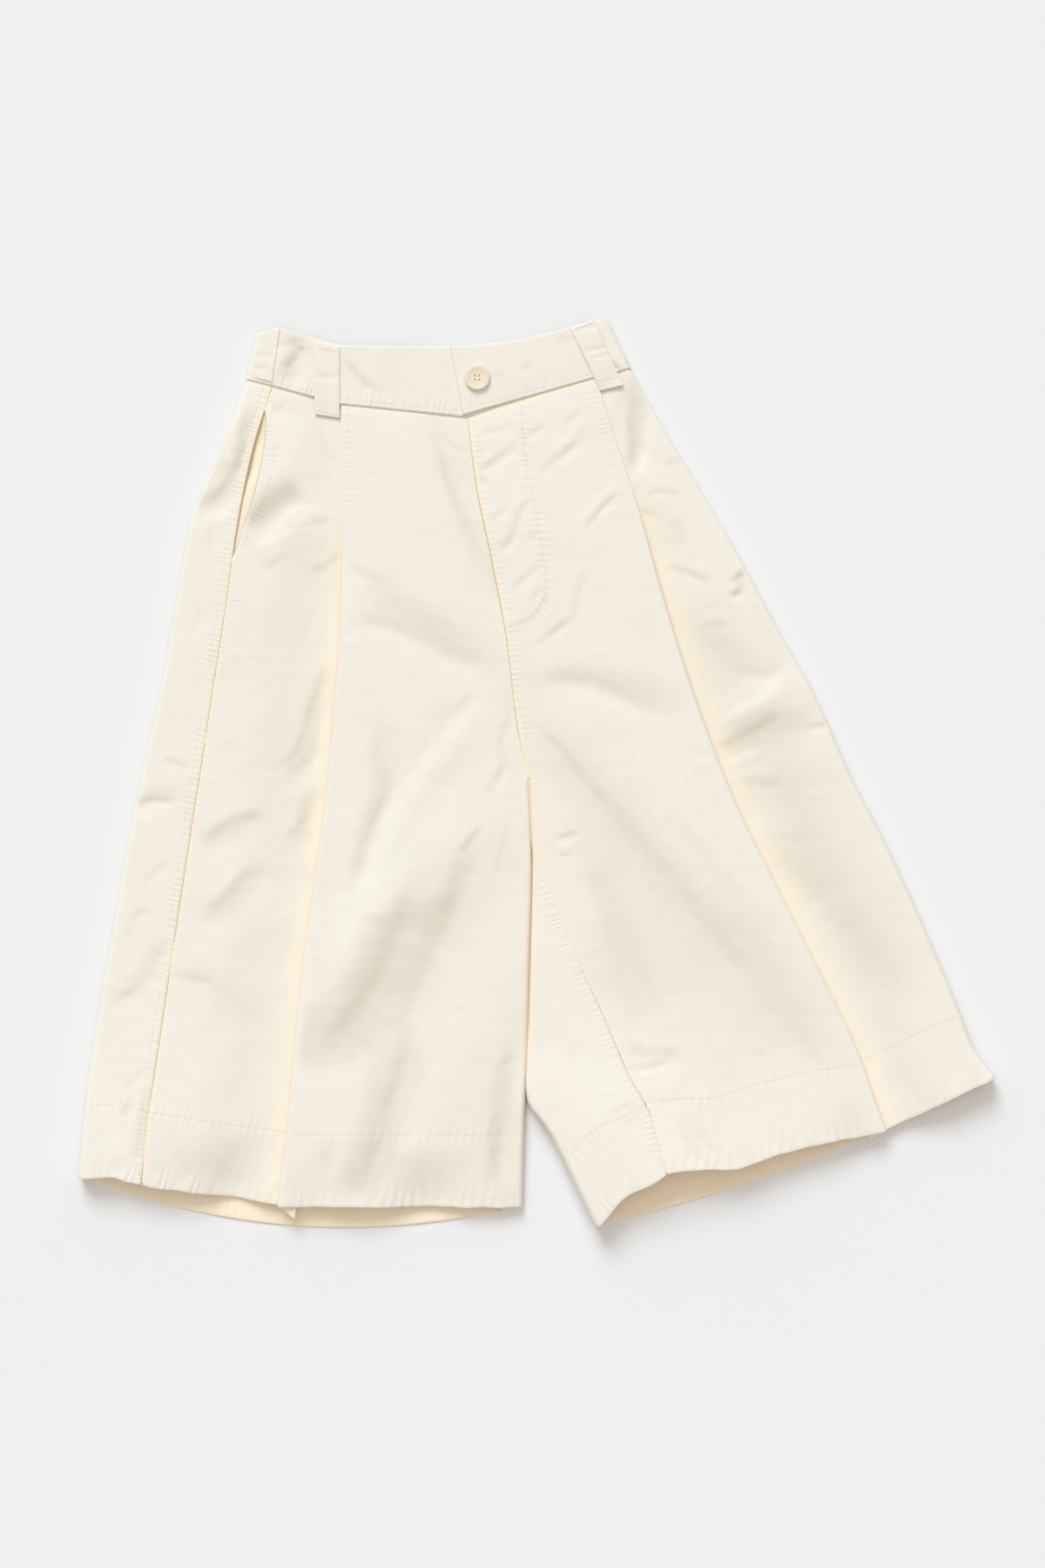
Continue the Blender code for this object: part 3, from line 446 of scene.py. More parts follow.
# The left front beside its pleat, down to the hem.
creases(
    "left_side",
    (8, -3.8, (723, 423), (729, 450), (731, 483), (729, 517), (724, 539), (721, 550)),
    (5, 1.1, (742, 466), (744, 494), (740, 528), (729, 550)),
    (3, 0.9, (716, 461), (717, 505)),
    (4, -1.1, (762, 532), (784, 528)),
    (4, -1, (724, 559), (735, 561)),
    (4, -1.2, (738, 570), (756, 563), (784, 568)),
    (4, -1.1, (729, 583), (756, 592)),
    (6, -1.6, (773, 594), (784, 628)),
    (5, 0.8, (775, 637), (792, 637)),
    (4.5, -1.3, (760, 648), (784, 654), (822, 668)),
    (4.5, -4, (858, 657), (847, 661), (849, 677), (838, 686)),
    (4, 0.8, (862, 688), (862, 698)),
    (5, -0.8, (809, 714), (840, 717)),
    (5, -0.8, (900, 746), (883, 771), (834, 766)),
    (6, 1.3, (817, 837), (840, 820), (874, 803), (906, 771)),
    (6, -1.3, (823, 863), (846, 846), (874, 831), (897, 814)),
    (5, 1.1, (834, 877), (874, 860)),
    (4, -1.2, (926, 834), (951, 831)),
    (4, 0.7, (928, 843), (952, 840)),
    (6, -0.9, (846, 894), (903, 900)),
    (6, -0.9, (883, 957), (931, 966)),
)
CREASE_STEP = 5.0  # a crease's line is cut into pieces this long
CREASE_FADE = 0.24  # share of its length over which each end fades
CREASE_DIP = 0.3  # how much of a crease is an even trough or ridge
CREASE_FALL = 1.1  # and how much is a slope that faces away from the light, or to it for a rise above 0
BROAD, UNEVEN, UNEVEN_BROAD = 12.0, 0.3, 0.1  # how uneven a crease is, and one that is at least so wide
NARROW, NARROW_DEEP = 7.0, 0.65  # creases narrower than this are pressed only so deep
LIGHT_GOES = (0.30, -0.954)  # over the plan

# ---- Seams whose stitches pull the cloth into ripples ----
# line: its plan points, or None where the seam follows the panels. aside: how far to its right the
# middle of the stitching lies. rows_apart: 0 for one row. wide, pitch, high: of the ripples.
# groove: how deep the stitches press in; the finish also paints shade into the groove and the ripples'
# troughs
Seam = namedtuple("Seam", "name parts line aside rows_apart wide pitch high groove")
FLY_CURVE = (
    (598, 462), (602, 510), (607, 550), (612, 570), (620, 612), (625, 645), (628, 677), (625, 687),
    (612.5, 707), (595, 716), (580, 720),
)
FLY_EDGE = (
    (541, 475), (544, 505), (550, 540), (555, 576), (560, 603), (567, 631), (574, 662), (578, 689),
    (581, 706),
)
POCKET_MOUTH = (
    (316, 462), (310, 482), (308, 505), (314, 520), (313, 540), (303, 575), (294, 592), (286, 610),
    (277, 632),
)
CENTRE_SEAM = ((585, 722), (589, 761), (593, 797), (602, 830), (607, 852))
PLEAT_ROWS = {
    "right": ((400, 466), (401, 520), (402, 584)),
    "left": ((676, 440), (689, 481), (700, 515), (712, 546)),
}
SEAMS = (
    Seam("right_side_seam", ("right_back",), None, 3.9, 4.0, 6.5, 5.3, 0.13, 0.12),
    Seam("right_side_seam", ("right_side",), None, 0.0, 0.0, 5.0, 5.3, 0.08, 0.0),
    Seam("pocket_mouth", ("right_side",), POCKET_MOUTH, 0.0, 0.0, 6.0, 5.6, 0.13, 0.12),
    *(
        Seam(side + "_pleat_row", (side + "_centre", "tuck"), line, 0.0, 0.0, 5.5, 5.6, 0.10, 0.08)
        for side, line in PLEAT_ROWS.items()
    ),
    Seam("fly_curve", ("left_centre",), FLY_CURVE, 0.0, 0.0, 6.0, 6.0, 0.13, 0.14),
    Seam("fly_edge", ("left_centre",), FLY_EDGE, 0.0, 0.0, 5.0, 5.0, 0.09, 0.0),
    Seam("centre_seam", ("left_centre",), CENTRE_SEAM, 0.0, 0.0, 5.0, 5.4, 0.14, 0.12),
    Seam("inseam", ("left_back",), None, 3.6, 3.6, 6.5, 5.6, 0.13, 0.12),
    Seam("inseam", ("left_centre",), None, 0.0, 0.0, 5.0, 5.3, 0.08, 0.0),
)
HEM_DEEP = 62.0
HEM_RIPPLE = (0.0, 8.0, 8.0, 0.15, 0.19)  # rows apart, wide, pitch, high and groove of the hem's row
HEM_EDGE_RIPPLE = (0.0, 17.0, 10.5, 0.26, 0.0)  # of its edge
HEM_INSIDE = (5.5, 14.0, 12.0, 0.2, 0.2)  # and of the back's hem, which shows its inside
BAND_ROW = 4.0  # the band's row of stitches above the waist seam
BAND_RIPPLE = (9.0, 6.5, 0.17, 0.12)
BAND_LINES = (  # how much warm shade is painted, and where: the band's fold beside the right loop, its side seam and its end on top
    (0.85, ((359, 392), (362, 430), (361, 464))),
    (0.5, ((321, 377), (316, 409), (311, 441))),
    (0.35, ((517, 398), (524, 437), (531, 475))),
)
SEWN = {"stitches_hems": [], "stitches_band": []}  # rows of stitches, noted as the cloth is laid
FLY_RAISE, FLY_SOFT = 0.7, 2.4  # how much the faced fly stands above the panel, and over what width

# ---- Stitches ----
BAR_TACKS = (  # start and end, on the chart
    ((264, 690), (278, 689)),
    ((584, 725), (600, 722)),
    ((306, 459), (318, 462)),
    ((365, 399), (388, 404)),
    ((364, 471), (389, 476)),
    ((660, 378), (683, 369)),
    ((687, 437), (711, 432)),
)
BUTTONHOLE = ((552, 432.5), (575.5, 429))
SMALL_ROWS = (  # short rows of stitches on the chart: pleat ends and the band's faint cross row
    ((391, 587), (402, 587)),
    ((712, 547), (721, 546)),
    ((577, 392), (577, 425)),
)


def smooth(t):
    """0 below 0, 1 above 1, with a soft S between."""
    t = np.clip(t, 0.0, 1.0)
    return t * t * (3 - 2 * t)


def evenly(count):
    """Shares from 0 to 1."""
    return np.linspace(0, 1, count)


def bell(t):
    """1 at 0, softly down to 0 by 2."""
    return np.exp(-(t**2))


def lengths_of(ways):
    """The lengths of vectors."""
    return np.linalg.norm(ways, axis=-1)


def toward(start, end):
    """The direction from one point to another."""
    line = np.array(end, float) - np.array(start, float)
    return line / np.linalg.norm(line)


def on_plan(points):
    """Chart places as plan points in millimetres."""
    return np.array([((x - CHART_X) * CHART, (CHART_Y - y) * CHART) for x, y in points], float)


def curve_through(knots, values, at):
    """A smooth curve through the values, which never swings past them."""
    knots, values = np.array(knots, float), np.array(values, float)
    widths, rises = np.diff(knots), np.diff(values)
    slopes = rises / widths
    tangents = np.concatenate([[slopes[0]], np.zeros(len(slopes) - 1), [slopes[-1]]])
    for i in range(1, len(slopes)):
        if slopes[i - 1] * slopes[i] > 0:
            first, second = 2 * widths[i] + widths[i - 1], widths[i] + 2 * widths[i - 1]
            tangents[i] = (first + second) / (first / slopes[i - 1] + second / slopes[i])
    i = int(np.clip(np.searchsorted(knots, at) - 1, 0, len(slopes) - 1))
    t, wide = (at - knots[i]) / widths[i], widths[i]
    leave, arrive = tangents[i] * wide, tangents[i + 1] * wide
    start_part = (2 * t**3 - 3 * t**2 + 1) * values[i] + (t**3 - 2 * t**2 + t) * leave
    return start_part + (3 * t**2 - 2 * t**3) * values[i + 1] + (t**3 - t**2) * arrive


def column(table, name, down):
    """One column of a table at that share of the way down. A plan point comes back as an array."""
    knots, values = table[name]
    if isinstance(values[0], tuple):
        return np.array([curve_through(knots, [v[k] for v in values], down) for k in (0, 1)])
    return float(curve_through(knots, values, down))


def bent_line(start, bend, end, count):
    """A soft line from start to end that passes through bend."""
    start, bend, end = (np.array(p, float) for p in (start, bend, end))
    handle = 2 * bend - (start + end) / 2
    t = evenly(count)[:, None]
    return start * (1 - t) ** 2 + 2 * handle * t * (1 - t) + end * t**2


def even_line(points, step):
    """A soft line through the points, cut into even pieces about step long."""
    points = np.array(points, float)
    before, after = 2 * points[0] - points[1], 2 * points[-1] - points[-2]
    p = np.vstack([before, points, after])
    fine = []
    for a, b, c, d in zip(p, p[1:], p[2:], p[3:]):
        t = np.linspace(0, 1, 12, endpoint=False)[:, None]
        bend, turn = 2 * a - 5 * b + 4 * c - d, 3 * b - a - 3 * c + d
        fine.append(0.5 * (2 * b + (c - a) * t + bend * t**2 + turn * t**3))
    fine = np.vstack(fine + [points[-1:]])
    way = np.concatenate([[0], np.cumsum(lengths_of(np.diff(fine, axis=0)))])
    even = np.linspace(0, way[-1], max(2, int(round(way[-1] / step)) + 1))
    return np.column_stack([np.interp(even, way, fine[:, k]) for k in range(points.shape[1])])


def beside(line, aside):
    """The line moved that far to its right."""
    along = np.gradient(line[:, :2], axis=0)
    along /= lengths_of(along)[:, None]
    moved = line.copy()
    moved[:, 0] += along[:, 1] * aside
    moved[:, 1] -= along[:, 0] * aside
    return moved


def from_line(line, x, y, with_light=False):
    """For each point: how far off the line it is (to its right above 0), how far along, and, if
    asked, how much the line's right faces the way that the light goes."""
    best, away, along = np.full(x.shape, np.inf), np.zeros(x.shape), np.zeros(x.shape)
    faces = np.zeros(x.shape)
    done = 0.0
    for (ax, ay), (bx, by) in zip(line[:-1, :2], line[1:, :2]):
        wx, wy = bx - ax, by - ay
        long = math.hypot(wx, wy)
        t = np.clip(((x - ax) * wx + (y - ay) * wy) / long**2, 0, 1)
        dx, dy = x - ax - t * wx, y - ay - t * wy
        off = np.hypot(dx, dy)
        nearer = off < best
        side = np.where(dx * wy - dy * wx > 0, 1.0, -1.0)
        best = np.where(nearer, off, best)
        away = np.where(nearer, off * side, away)
        along = np.where(nearer, done + t * long, along)
        faces = np.where(nearer, (wy * LIGHT_GOES[0] - wx * LIGHT_GOES[1]) / long, faces)
        done += long
    return (away, along, faces) if with_light else (away, along)


class Cloud:
    """Soft uneven values from -1 to 1 over the plan, the same in each run."""

    def __init__(self, seed, size):
        self.values = np.random.RandomState(seed).uniform(-1, 1, (97, 89))
        self.size = size

    def at(self, x, y):
        """The values at those plan points."""
        u, v = np.asarray(x) / self.size + 500.3, np.asarray(y) / self.size + 500.7
        i, j = np.floor(u).astype(int), np.floor(v).astype(int)
        s, t = u - i, v - j
        s, t = s * s * (3 - 2 * s), t * t * (3 - 2 * t)
        value = lambda a, b: self.values[(i + a) % 97, (j + b) % 89]
        low = value(0, 0) * (1 - s) + value(1, 0) * s
        high = value(0, 1) * (1 - s) + value(1, 1) * s
        return low * (1 - t) + high * t


CLOUDS = {"broad": Cloud(3, 34.0), "soft": Cloud(5, 15.0), "small": Cloud(7, 7.0), "pull": Cloud(11, 21.0)}


def crumple(x, y):
    """The slight unevenness of washed cotton, in millimetres."""
    bent_x = x + 6 * CLOUDS["pull"].at(x, y)
    bent_y = y + 6 * CLOUDS["pull"].at(y + 90, x - 40)
    ridged = 1 - np.abs(CLOUDS["soft"].at(bent_x, bent_y)) * 2
    return 0.55 * CLOUDS["broad"].at(x, y) + 0.22 * ridged + 0.10 * CLOUDS["small"].at(bent_y, bent_x)


FOLD_LINES = tuple(bent_line(f.start, f.bend, f.end, FOLD_STEPS + 1) for f in FOLDS)
CREASE_LINES = tuple(even_line(on_plan(c.line), CREASE_STEP) for c in CREASES)


def fold_height(x, y):
    """What the main folds add to the height of the top cloth. They fade at both ends."""
    total = np.zeros(x.shape)
    for fold, line in zip(FOLDS, FOLD_LINES):
        away, along = from_line(line, x, y)
        long = lengths_of(np.diff(line, axis=0)).sum()
        end = np.sin(np.pi * (0.08 + 0.84 * along / long))
        total += fold.rise * end * bell(away / fold.wide)
    return total


def crease_height(part, x, y, deep):
    """What the creases of that part add, deep times as high as the table says, and the shade painted along
    their troughs."""
    total, hollow = np.zeros(x.shape), np.zeros(x.shape)
    for number, (crease, line) in enumerate(zip(CREASES, CREASE_LINES)):
        if crease.part != part:
            continue
        reach = 3 * crease.wide
        low, high = line.min(0) - reach, line.max(0) + reach
        near = (x > low[0]) & (x < high[0]) & (y > low[1]) & (y < high[1])
        if not near.any():
            continue
        away, along, faces = from_line(line, x[near], y[near], with_light=True)
        long = lengths_of(np.diff(line, axis=0)).sum()
        share = along / long
        end = smooth(np.minimum(share, 1 - share) / CREASE_FADE)
        off = away / crease.wide
        place = along * 1.3 + 37 * number, np.full(along.shape, 11.0 * number)
        uneven = 1 + (UNEVEN if crease.wide < BROAD else UNEVEN_BROAD) * CLOUDS["soft"].at(*place)
        shape = CREASE_DIP + CREASE_FALL * off * np.tanh(2.5 * faces)
        near_line = bell(off)
        # shade painted along the crease; only troughs darken the colour
        hollow[near] += crease.rise * end * uneven * near_line
        narrow = NARROW_DEEP + (1 - NARROW_DEEP) * smooth((crease.wide - NARROW) / NARROW)
        total[near] += crease.rise * deep * narrow * end * uneven * shape * near_line
    return total, hollow


def seams_beside(part):
    """The lines of the seams along that part, and how much warm shade is painted beside each."""
    found = []
    if part in ("right_back", "right_side"):
        found.append((seam_line("right_side_seam"), 0.9))
    if part in ("left_back", "left_centre"):
        found.append((seam_line("inseam"), 0.45))
    if part in ("right_centre", "left_centre"):
        centre = np.array([column(CENTRE_FRONT, "line", down) for down in np.linspace(0, CROTCH, 30)])
        found.append((centre, 0.9))
    return found


def hem_drop(x, down):
    """How far the top cloth's hem waves downward there."""
    grown = smooth((down - HEM_FROM) / (1 - HEM_FROM))
    uneven = 0.7 * CLOUDS["pull"].at(x * 1.5, 300.0) + 0.4 * CLOUDS["small"].at(x, 40.0)
    return grown * (uneven + sum(w.drop * bell((x - w.x) / w.wide) for w in HEM_WAVES))


def arc_line(start, middle, end, share):
    """Points of the parabola through three plan points, at shares of its length."""
    long_a, long_b = np.linalg.norm(middle - start), np.linalg.norm(end - middle)
    knot = long_a / (long_a + long_b)
    share = np.atleast_1d(share)[:, None]
    at_start = (share - knot) * (share - 1) / knot
    at_middle = share * (share - 1) / (knot * (knot - 1))
    return at_start * start + at_middle * middle + share * (share - knot) / (1 - knot) * end


def strip(part, plan, height, share=0.0, fine=None):
    """Columns of one row that belong to one part: x, y, z, their share of the folds and creases."""
    plan = np.atleast_2d(plan)
    values = np.empty((len(plan), 5))
    values[:, :2], values[:, 2], values[:, 3] = plan, height, share
    values[:, 4] = share if fine is None else fine
    return part, values


class Half:
    """The lines and heights of one row of one half."""

    def __init__(self, side, down):
        self.side, self.down, self.split = side, down, down > CROTCH - CROTCH_STEP / 2
        plan, heights = (RIGHT_PLAN, RIGHT_HEIGHT) if side == "right" else (LEFT_PLAN, LEFT_HEIGHT)
        self.outer, self.fold = column(plan, "outer", down), column(plan, "fold", down)
        self.height = {name: column(heights, name, down) for name in heights}
        pressed = 1 - smooth((down - 0.9 * STITCHED) / 0.12)
        self.height["under"] += (self.height["fold"] - PLEAT_PRESSED - self.height["under"]) * pressed
        for name in ("right", "left", "inseam"):
            self.height[name] = column(INNER_HEIGHT, name, down)
        self.height["inner"] = self.height["right" if side == "right" else "inseam"]
        if side == "right":
            self.seam = column(plan, "seam", down)
        if self.split:
            self.edge = column(INNER_PLAN, side, down)
            self.inner = self.edge if side == "right" else column(INNER_PLAN, "inseam", down)
        else:
            self.edge = self.inner = column(CENTRE_FRONT, "line", down)
        depth = PLEAT_DEPTH_WAIST + (PLEAT_DEPTH_HEM - PLEAT_DEPTH_WAIST) * down
        hang = PLEAT_HANG[side] * smooth((down - STITCHED) / HANG_GROWS)
        self.under = self.fold + depth * toward(self.fold, self.inner) - np.array([0.0, hang])
        grown = smooth((down - CROTCH) / ROUND_GROWS)
        self.inner_round = CROTCH_ROUND + (INNER_ROUND - CROTCH_ROUND) * grown
        if side == "left" and self.split:
            apart = smooth((down - LEGS_PART) / 0.06)
            close = column(INNER_PLAN, "right", down)[0] + LEGS_GAP
            self.edge[0] += (close - self.edge[0]) * (1 - apart)
            self.inner_round = CROTCH_ROUND + (INNER_ROUND - CROTCH_ROUND) * apart
        self.side_round = min(SIDE_ROUND, ROUND_MOST * self.height["rim"])

    def underside(self, share):
        """Plan points of the underside: a smooth line from the side, past the pleat, to the inner edge."""
        hem = smooth((self.down - BACK_DROP_FROM) / (1 - BACK_DROP_FROM))
        low = self.fold - np.array([0.0, BACK_DROP[self.side] * hem])
        return arc_line(self.outer, low, self.edge, share)

    def underside_share(self, millimetres):
        """That length on the underside, as a share of it."""
        return millimetres / np.linalg.norm(self.edge - self.outer)

    def round_fold(self, part, at, inward, wide, top, count, floor=CLOTH_ON_FLOOR):
        """A rounded fold whose outermost line is at, from the floor up."""
        turn = np.linspace(-math.pi / 2, math.pi / 2, count)
        plan = at + inward * (wide * (1 - np.cos(turn)))[:, None]
        height = (top + floor) / 2 + (top - floor) / 2 * np.sin(turn)
        return strip(part, plan, height, np.maximum(0, np.sin(turn)))

    def side_fold(self, part, count):
        """The fold round the side."""
        inward = toward(self.outer, self.seam if self.side == "right" else self.fold)
        return self.round_fold(part, self.outer, inward, self.side_round, self.height["rim"], count)

    def inner_fold(self, part, count):
        """The fold round the inside of the leg."""
        inward = toward(self.edge, self.fold)
        return self.round_fold(part, self.edge, inward, self.inner_round, self.height[self.side], count)

    def mouth(self):
        """How far the pocket's mouth gapes in this row, from 0 to 1."""
        t = (self.down - MOUTH_TOP) / (MOUTH_LOW - MOUTH_TOP)
        return math.sin(math.pi * t**0.75) if 0 < t < 1 and self.side == "right" else 0.0

    def side_part(self, count):
        """The front's side part, from its start to the pleat's edge above it."""
        s, height = evenly(count), self.height
        if self.side == "left":
            inward = toward(self.outer, self.fold)
            start, top, step = self.outer + inward * self.side_round, height["rim"], 0.0
        else:
            open_wide = self.mouth()
            gap = SEAM_GAP / 2 + MOUTH_WIDE * open_wide
            start = self.seam + toward(self.seam, self.fold) * gap
            top = height["seam"] + MOUTH_LIFT * open_wide
            step = SEAM_STEP * (1 - smooth(4 * open_wide))
        level = top + (height["under"] - top) * smooth((s - SINK_FROM) / (SINK_TO - SINK_FROM))
        off = s * np.linalg.norm(self.fold - start)
        level -= step * (1 - smooth(off / SEAM_RISE))
        share = 1 - smooth((s - FADE_FROM) / (FADE_TO - FADE_FROM))
        fine = 1 - smooth((s - 0.9) / 0.1)
        return strip(self.side + "_side", start + (self.fold - start) * s[:, None], level, share, fine)

    def pleat_tuck(self, counts):
        """In under the pleat, round its hidden fold, out again and round its edge."""
        flat_count, turn_count = counts
        low, top = self.height["under"], self.height["fold"]
        between = low + PLY_APART + 0.1
        out = toward(self.fold, self.under)
        s = evenly(flat_count + 1)[1:]
        plans, heights = [self.fold + (self.under - self.fold) * s[:, None]], [np.full(len(s), low)]
        turn = np.linspace(-math.pi / 2, math.pi / 2, turn_count)[1:]
        plans.append(self.under + out * (0.6 * np.cos(turn))[:, None])
        heights.append((low + between) / 2 + (between - low) / 2 * np.sin(turn))
        s = evenly(flat_count + 1)[1:-1]
        plans.append(self.under + (self.fold - self.under) * s[:, None])
        heights.append(np.full(len(s), between))
        turn = np.linspace(-math.pi / 2, math.pi / 2, turn_count)
        plans.append(self.fold + out * (PLEAT_ROUND * (1 - np.cos(turn)))[:, None])
        heights.append((between + top) / 2 + (top - between) / 2 * np.sin(turn))
        return strip("tuck", np.vstack(plans), np.concatenate(heights)), self.fold + out * PLEAT_ROUND

    def centre_part(self, start, end, count, step):
        """The centre part, from the pleat's edge to its inner end, which lies step lower at a seam."""
        s, height = evenly(count + 1)[1:], self.height
        bulge = height["crown"] - (height["fold"] + height["inner"]) / 2
        level = height["fold"] + (height["inner"] - height["fold"]) * s + bulge * 4 * s * (1 - s)
        wide = np.linalg.norm(end - start)
        level -= step * (1 - smooth((1 - s) * wide / SEAM_RISE))
        share = smooth(s * wide / CENTRE_FADE)
        fine = smooth(s * wide / 5.0)
        return strip(self.side + "_centre", start + (end - start) * s[:, None], level, share, fine)

    def centre_end(self):
        """Where the centre part ends."""
        if self.side == "right" and self.split:
            return self.edge + toward(self.edge, self.fold) * self.inner_round
        return self.inner - toward(self.fold, self.inner) * SEAM_GAP / 2


# ---- Grids of cloth ----
ROWS = 280
SEAM_NOTES, ROW_NOTES = (
    tuple(kind + what for what in ("_away", "_rows", "_turn", "_high", "_groove")) for kind in ("seam", "row")
)


def row_places():
    """The rows' shares of the way down, with one on each side of the crotch."""
    above = np.linspace(0, CROTCH - CROTCH_STEP, int(ROWS * CROTCH))
    return np.concatenate([above, np.linspace(CROTCH, 1, ROWS - len(above))])


def turned_edge(part, at, inward, height, wide, down_by, count=5):
    """The cloth's edge, turned under itself: from the edge back inward, just below."""
    s = evenly(count + 1)[1:]
    plan = at + inward * (wide * s**1.3)[:, None]
    return strip(part + "+", plan, height - down_by * smooth(s * 3), 1.0)


def hidden_edge(part, at, way, height, turned, s=EDGE_SHARES):
    """The cloth's edge at a seam: it runs on below the other panel, or is turned in where turned is 1."""
    plan = at + way * ((turned * OPEN_TURN - (1 - turned) * SEAM_TUCK) * s)[:, None]
    dip = (1 - turned) * SEAM_DIP * smooth(s * 4 - 0.4) + turned * PLY_APART * smooth(s * 5)
    return strip(part + "+", plan, height - dip, 1.0)


def right_front_row(down):
    """The right front: pocket mouth, side part, pleat, centre part, then under the fly or round the leg."""
    half = Half("right", down)
    side = half.side_part(34)
    first, across = side[1][0], toward(half.seam, half.fold)
    gapes = smooth(4 * half.mouth())
    hidden = hidden_edge("right_side", first[:2], across, first[2], gapes, EDGE_SHARES[::-1])
    tuck, start = half.pleat_tuck((7, 8))
    centre = half.centre_part(start, half.centre_end(), 72, 0.0 if half.split else SEAM_STEP)
    if half.split:
        part, ring = half.inner_fold("right_wrap", 12)
        shares = np.linspace(half.inner_round, half.inner_round + TURN_UNDER, 5)[1:]
        floor = strip("floor", half.underside(1 - half.underside_share(shares)), CLOTH_ON_FLOOR)
        rest = [(part, ring[::-1][1:]), floor]
    else:
        end, level = centre[1][-1, :2], centre[1][-1, 2]
        s = evenly(16)[1:, None]
        dip = SEAM_DIP * smooth(s[:, 0] * 8 - 0.4)
        _, run = strip("floor", end + toward(half.fold, half.inner) * FLY_RUN * s, level - dip, 1.0)
        rest = [("right_wrap", run[:11]), ("floor", run[11:])]
    return [hidden, side, tuck, centre, *rest]


def left_front_row(down):
    """The left front: round the side from the floor, side part, pleat, then to the fly or the inseam."""
    half = Half("left", down)
    shares = np.linspace(half.side_round + TURN_UNDER, half.side_round, 6)[:-1]
    floor = strip("floor", half.underside(half.underside_share(shares)), CLOTH_ON_FLOOR)
    part, ring = half.side_fold("left_side", 14)
    tuck, start = half.pleat_tuck((7, 8))
    after = smooth((down - CROTCH + 0.01) / 0.03)
    end = half.centre_end() + toward(half.fold, half.inner) * (1 - after) * SEAM_LAP
    centre = half.centre_part(start, end, 78, SEAM_STEP * after)
    last = centre[1][-1]
    edge = hidden_edge("left_centre", last[:2], toward(half.inner, half.fold), last[2], 1 - after)
    return [floor, (part, ring[:-1]), half.side_part(26), tuck, centre, edge]


def back_row(side, down):
    """A back: along the floor, then round the right side to the side seam, or up between the legs."""
    half = Half(side, down)
    if side == "right":
        stop = half.inner_round + TURN_UNDER + SEAM_GAP if half.split else SEAM_GAP / 2
        first, last = 1 - half.underside_share(stop), half.underside_share(half.side_round)
        ring = half.side_fold("right_back", 14)
        end = half.seam + toward(half.outer, half.seam) * SEAM_LAP
        start = half.outer + toward(half.outer, end) * half.side_round
        heights = half.height["rim"], half.height["seam"]
    else:
        stop = half.inner_round if half.split else SEAM_GAP / 2
        first = half.underside_share(half.side_round + TURN_UNDER + SEAM_GAP)
        last = 1 - half.underside_share(stop)
        ring = half.inner_fold("left_back", 14)
        start = half.edge + toward(half.edge, half.fold) * half.inner_round
        end = half.inner - toward(half.fold, half.inner) * SEAM_LAP
        heights = half.height["left"], half.height["inseam"]
    floor = strip("floor", half.underside(np.linspace(first, last, 22)[:-1]), CLOTH_ON_FLOOR)
    s = evenly(20)[1:]
    level = heights[0] + (heights[1] - heights[0]) * s
    top = strip(side + "_back", start + (end - start) * s[:, None], level, 1.0)
    edge = turned_edge(side + "_back", end, toward(end, start), heights[1], 8.0, PLY_APART)
    return [floor, ring, top, edge]


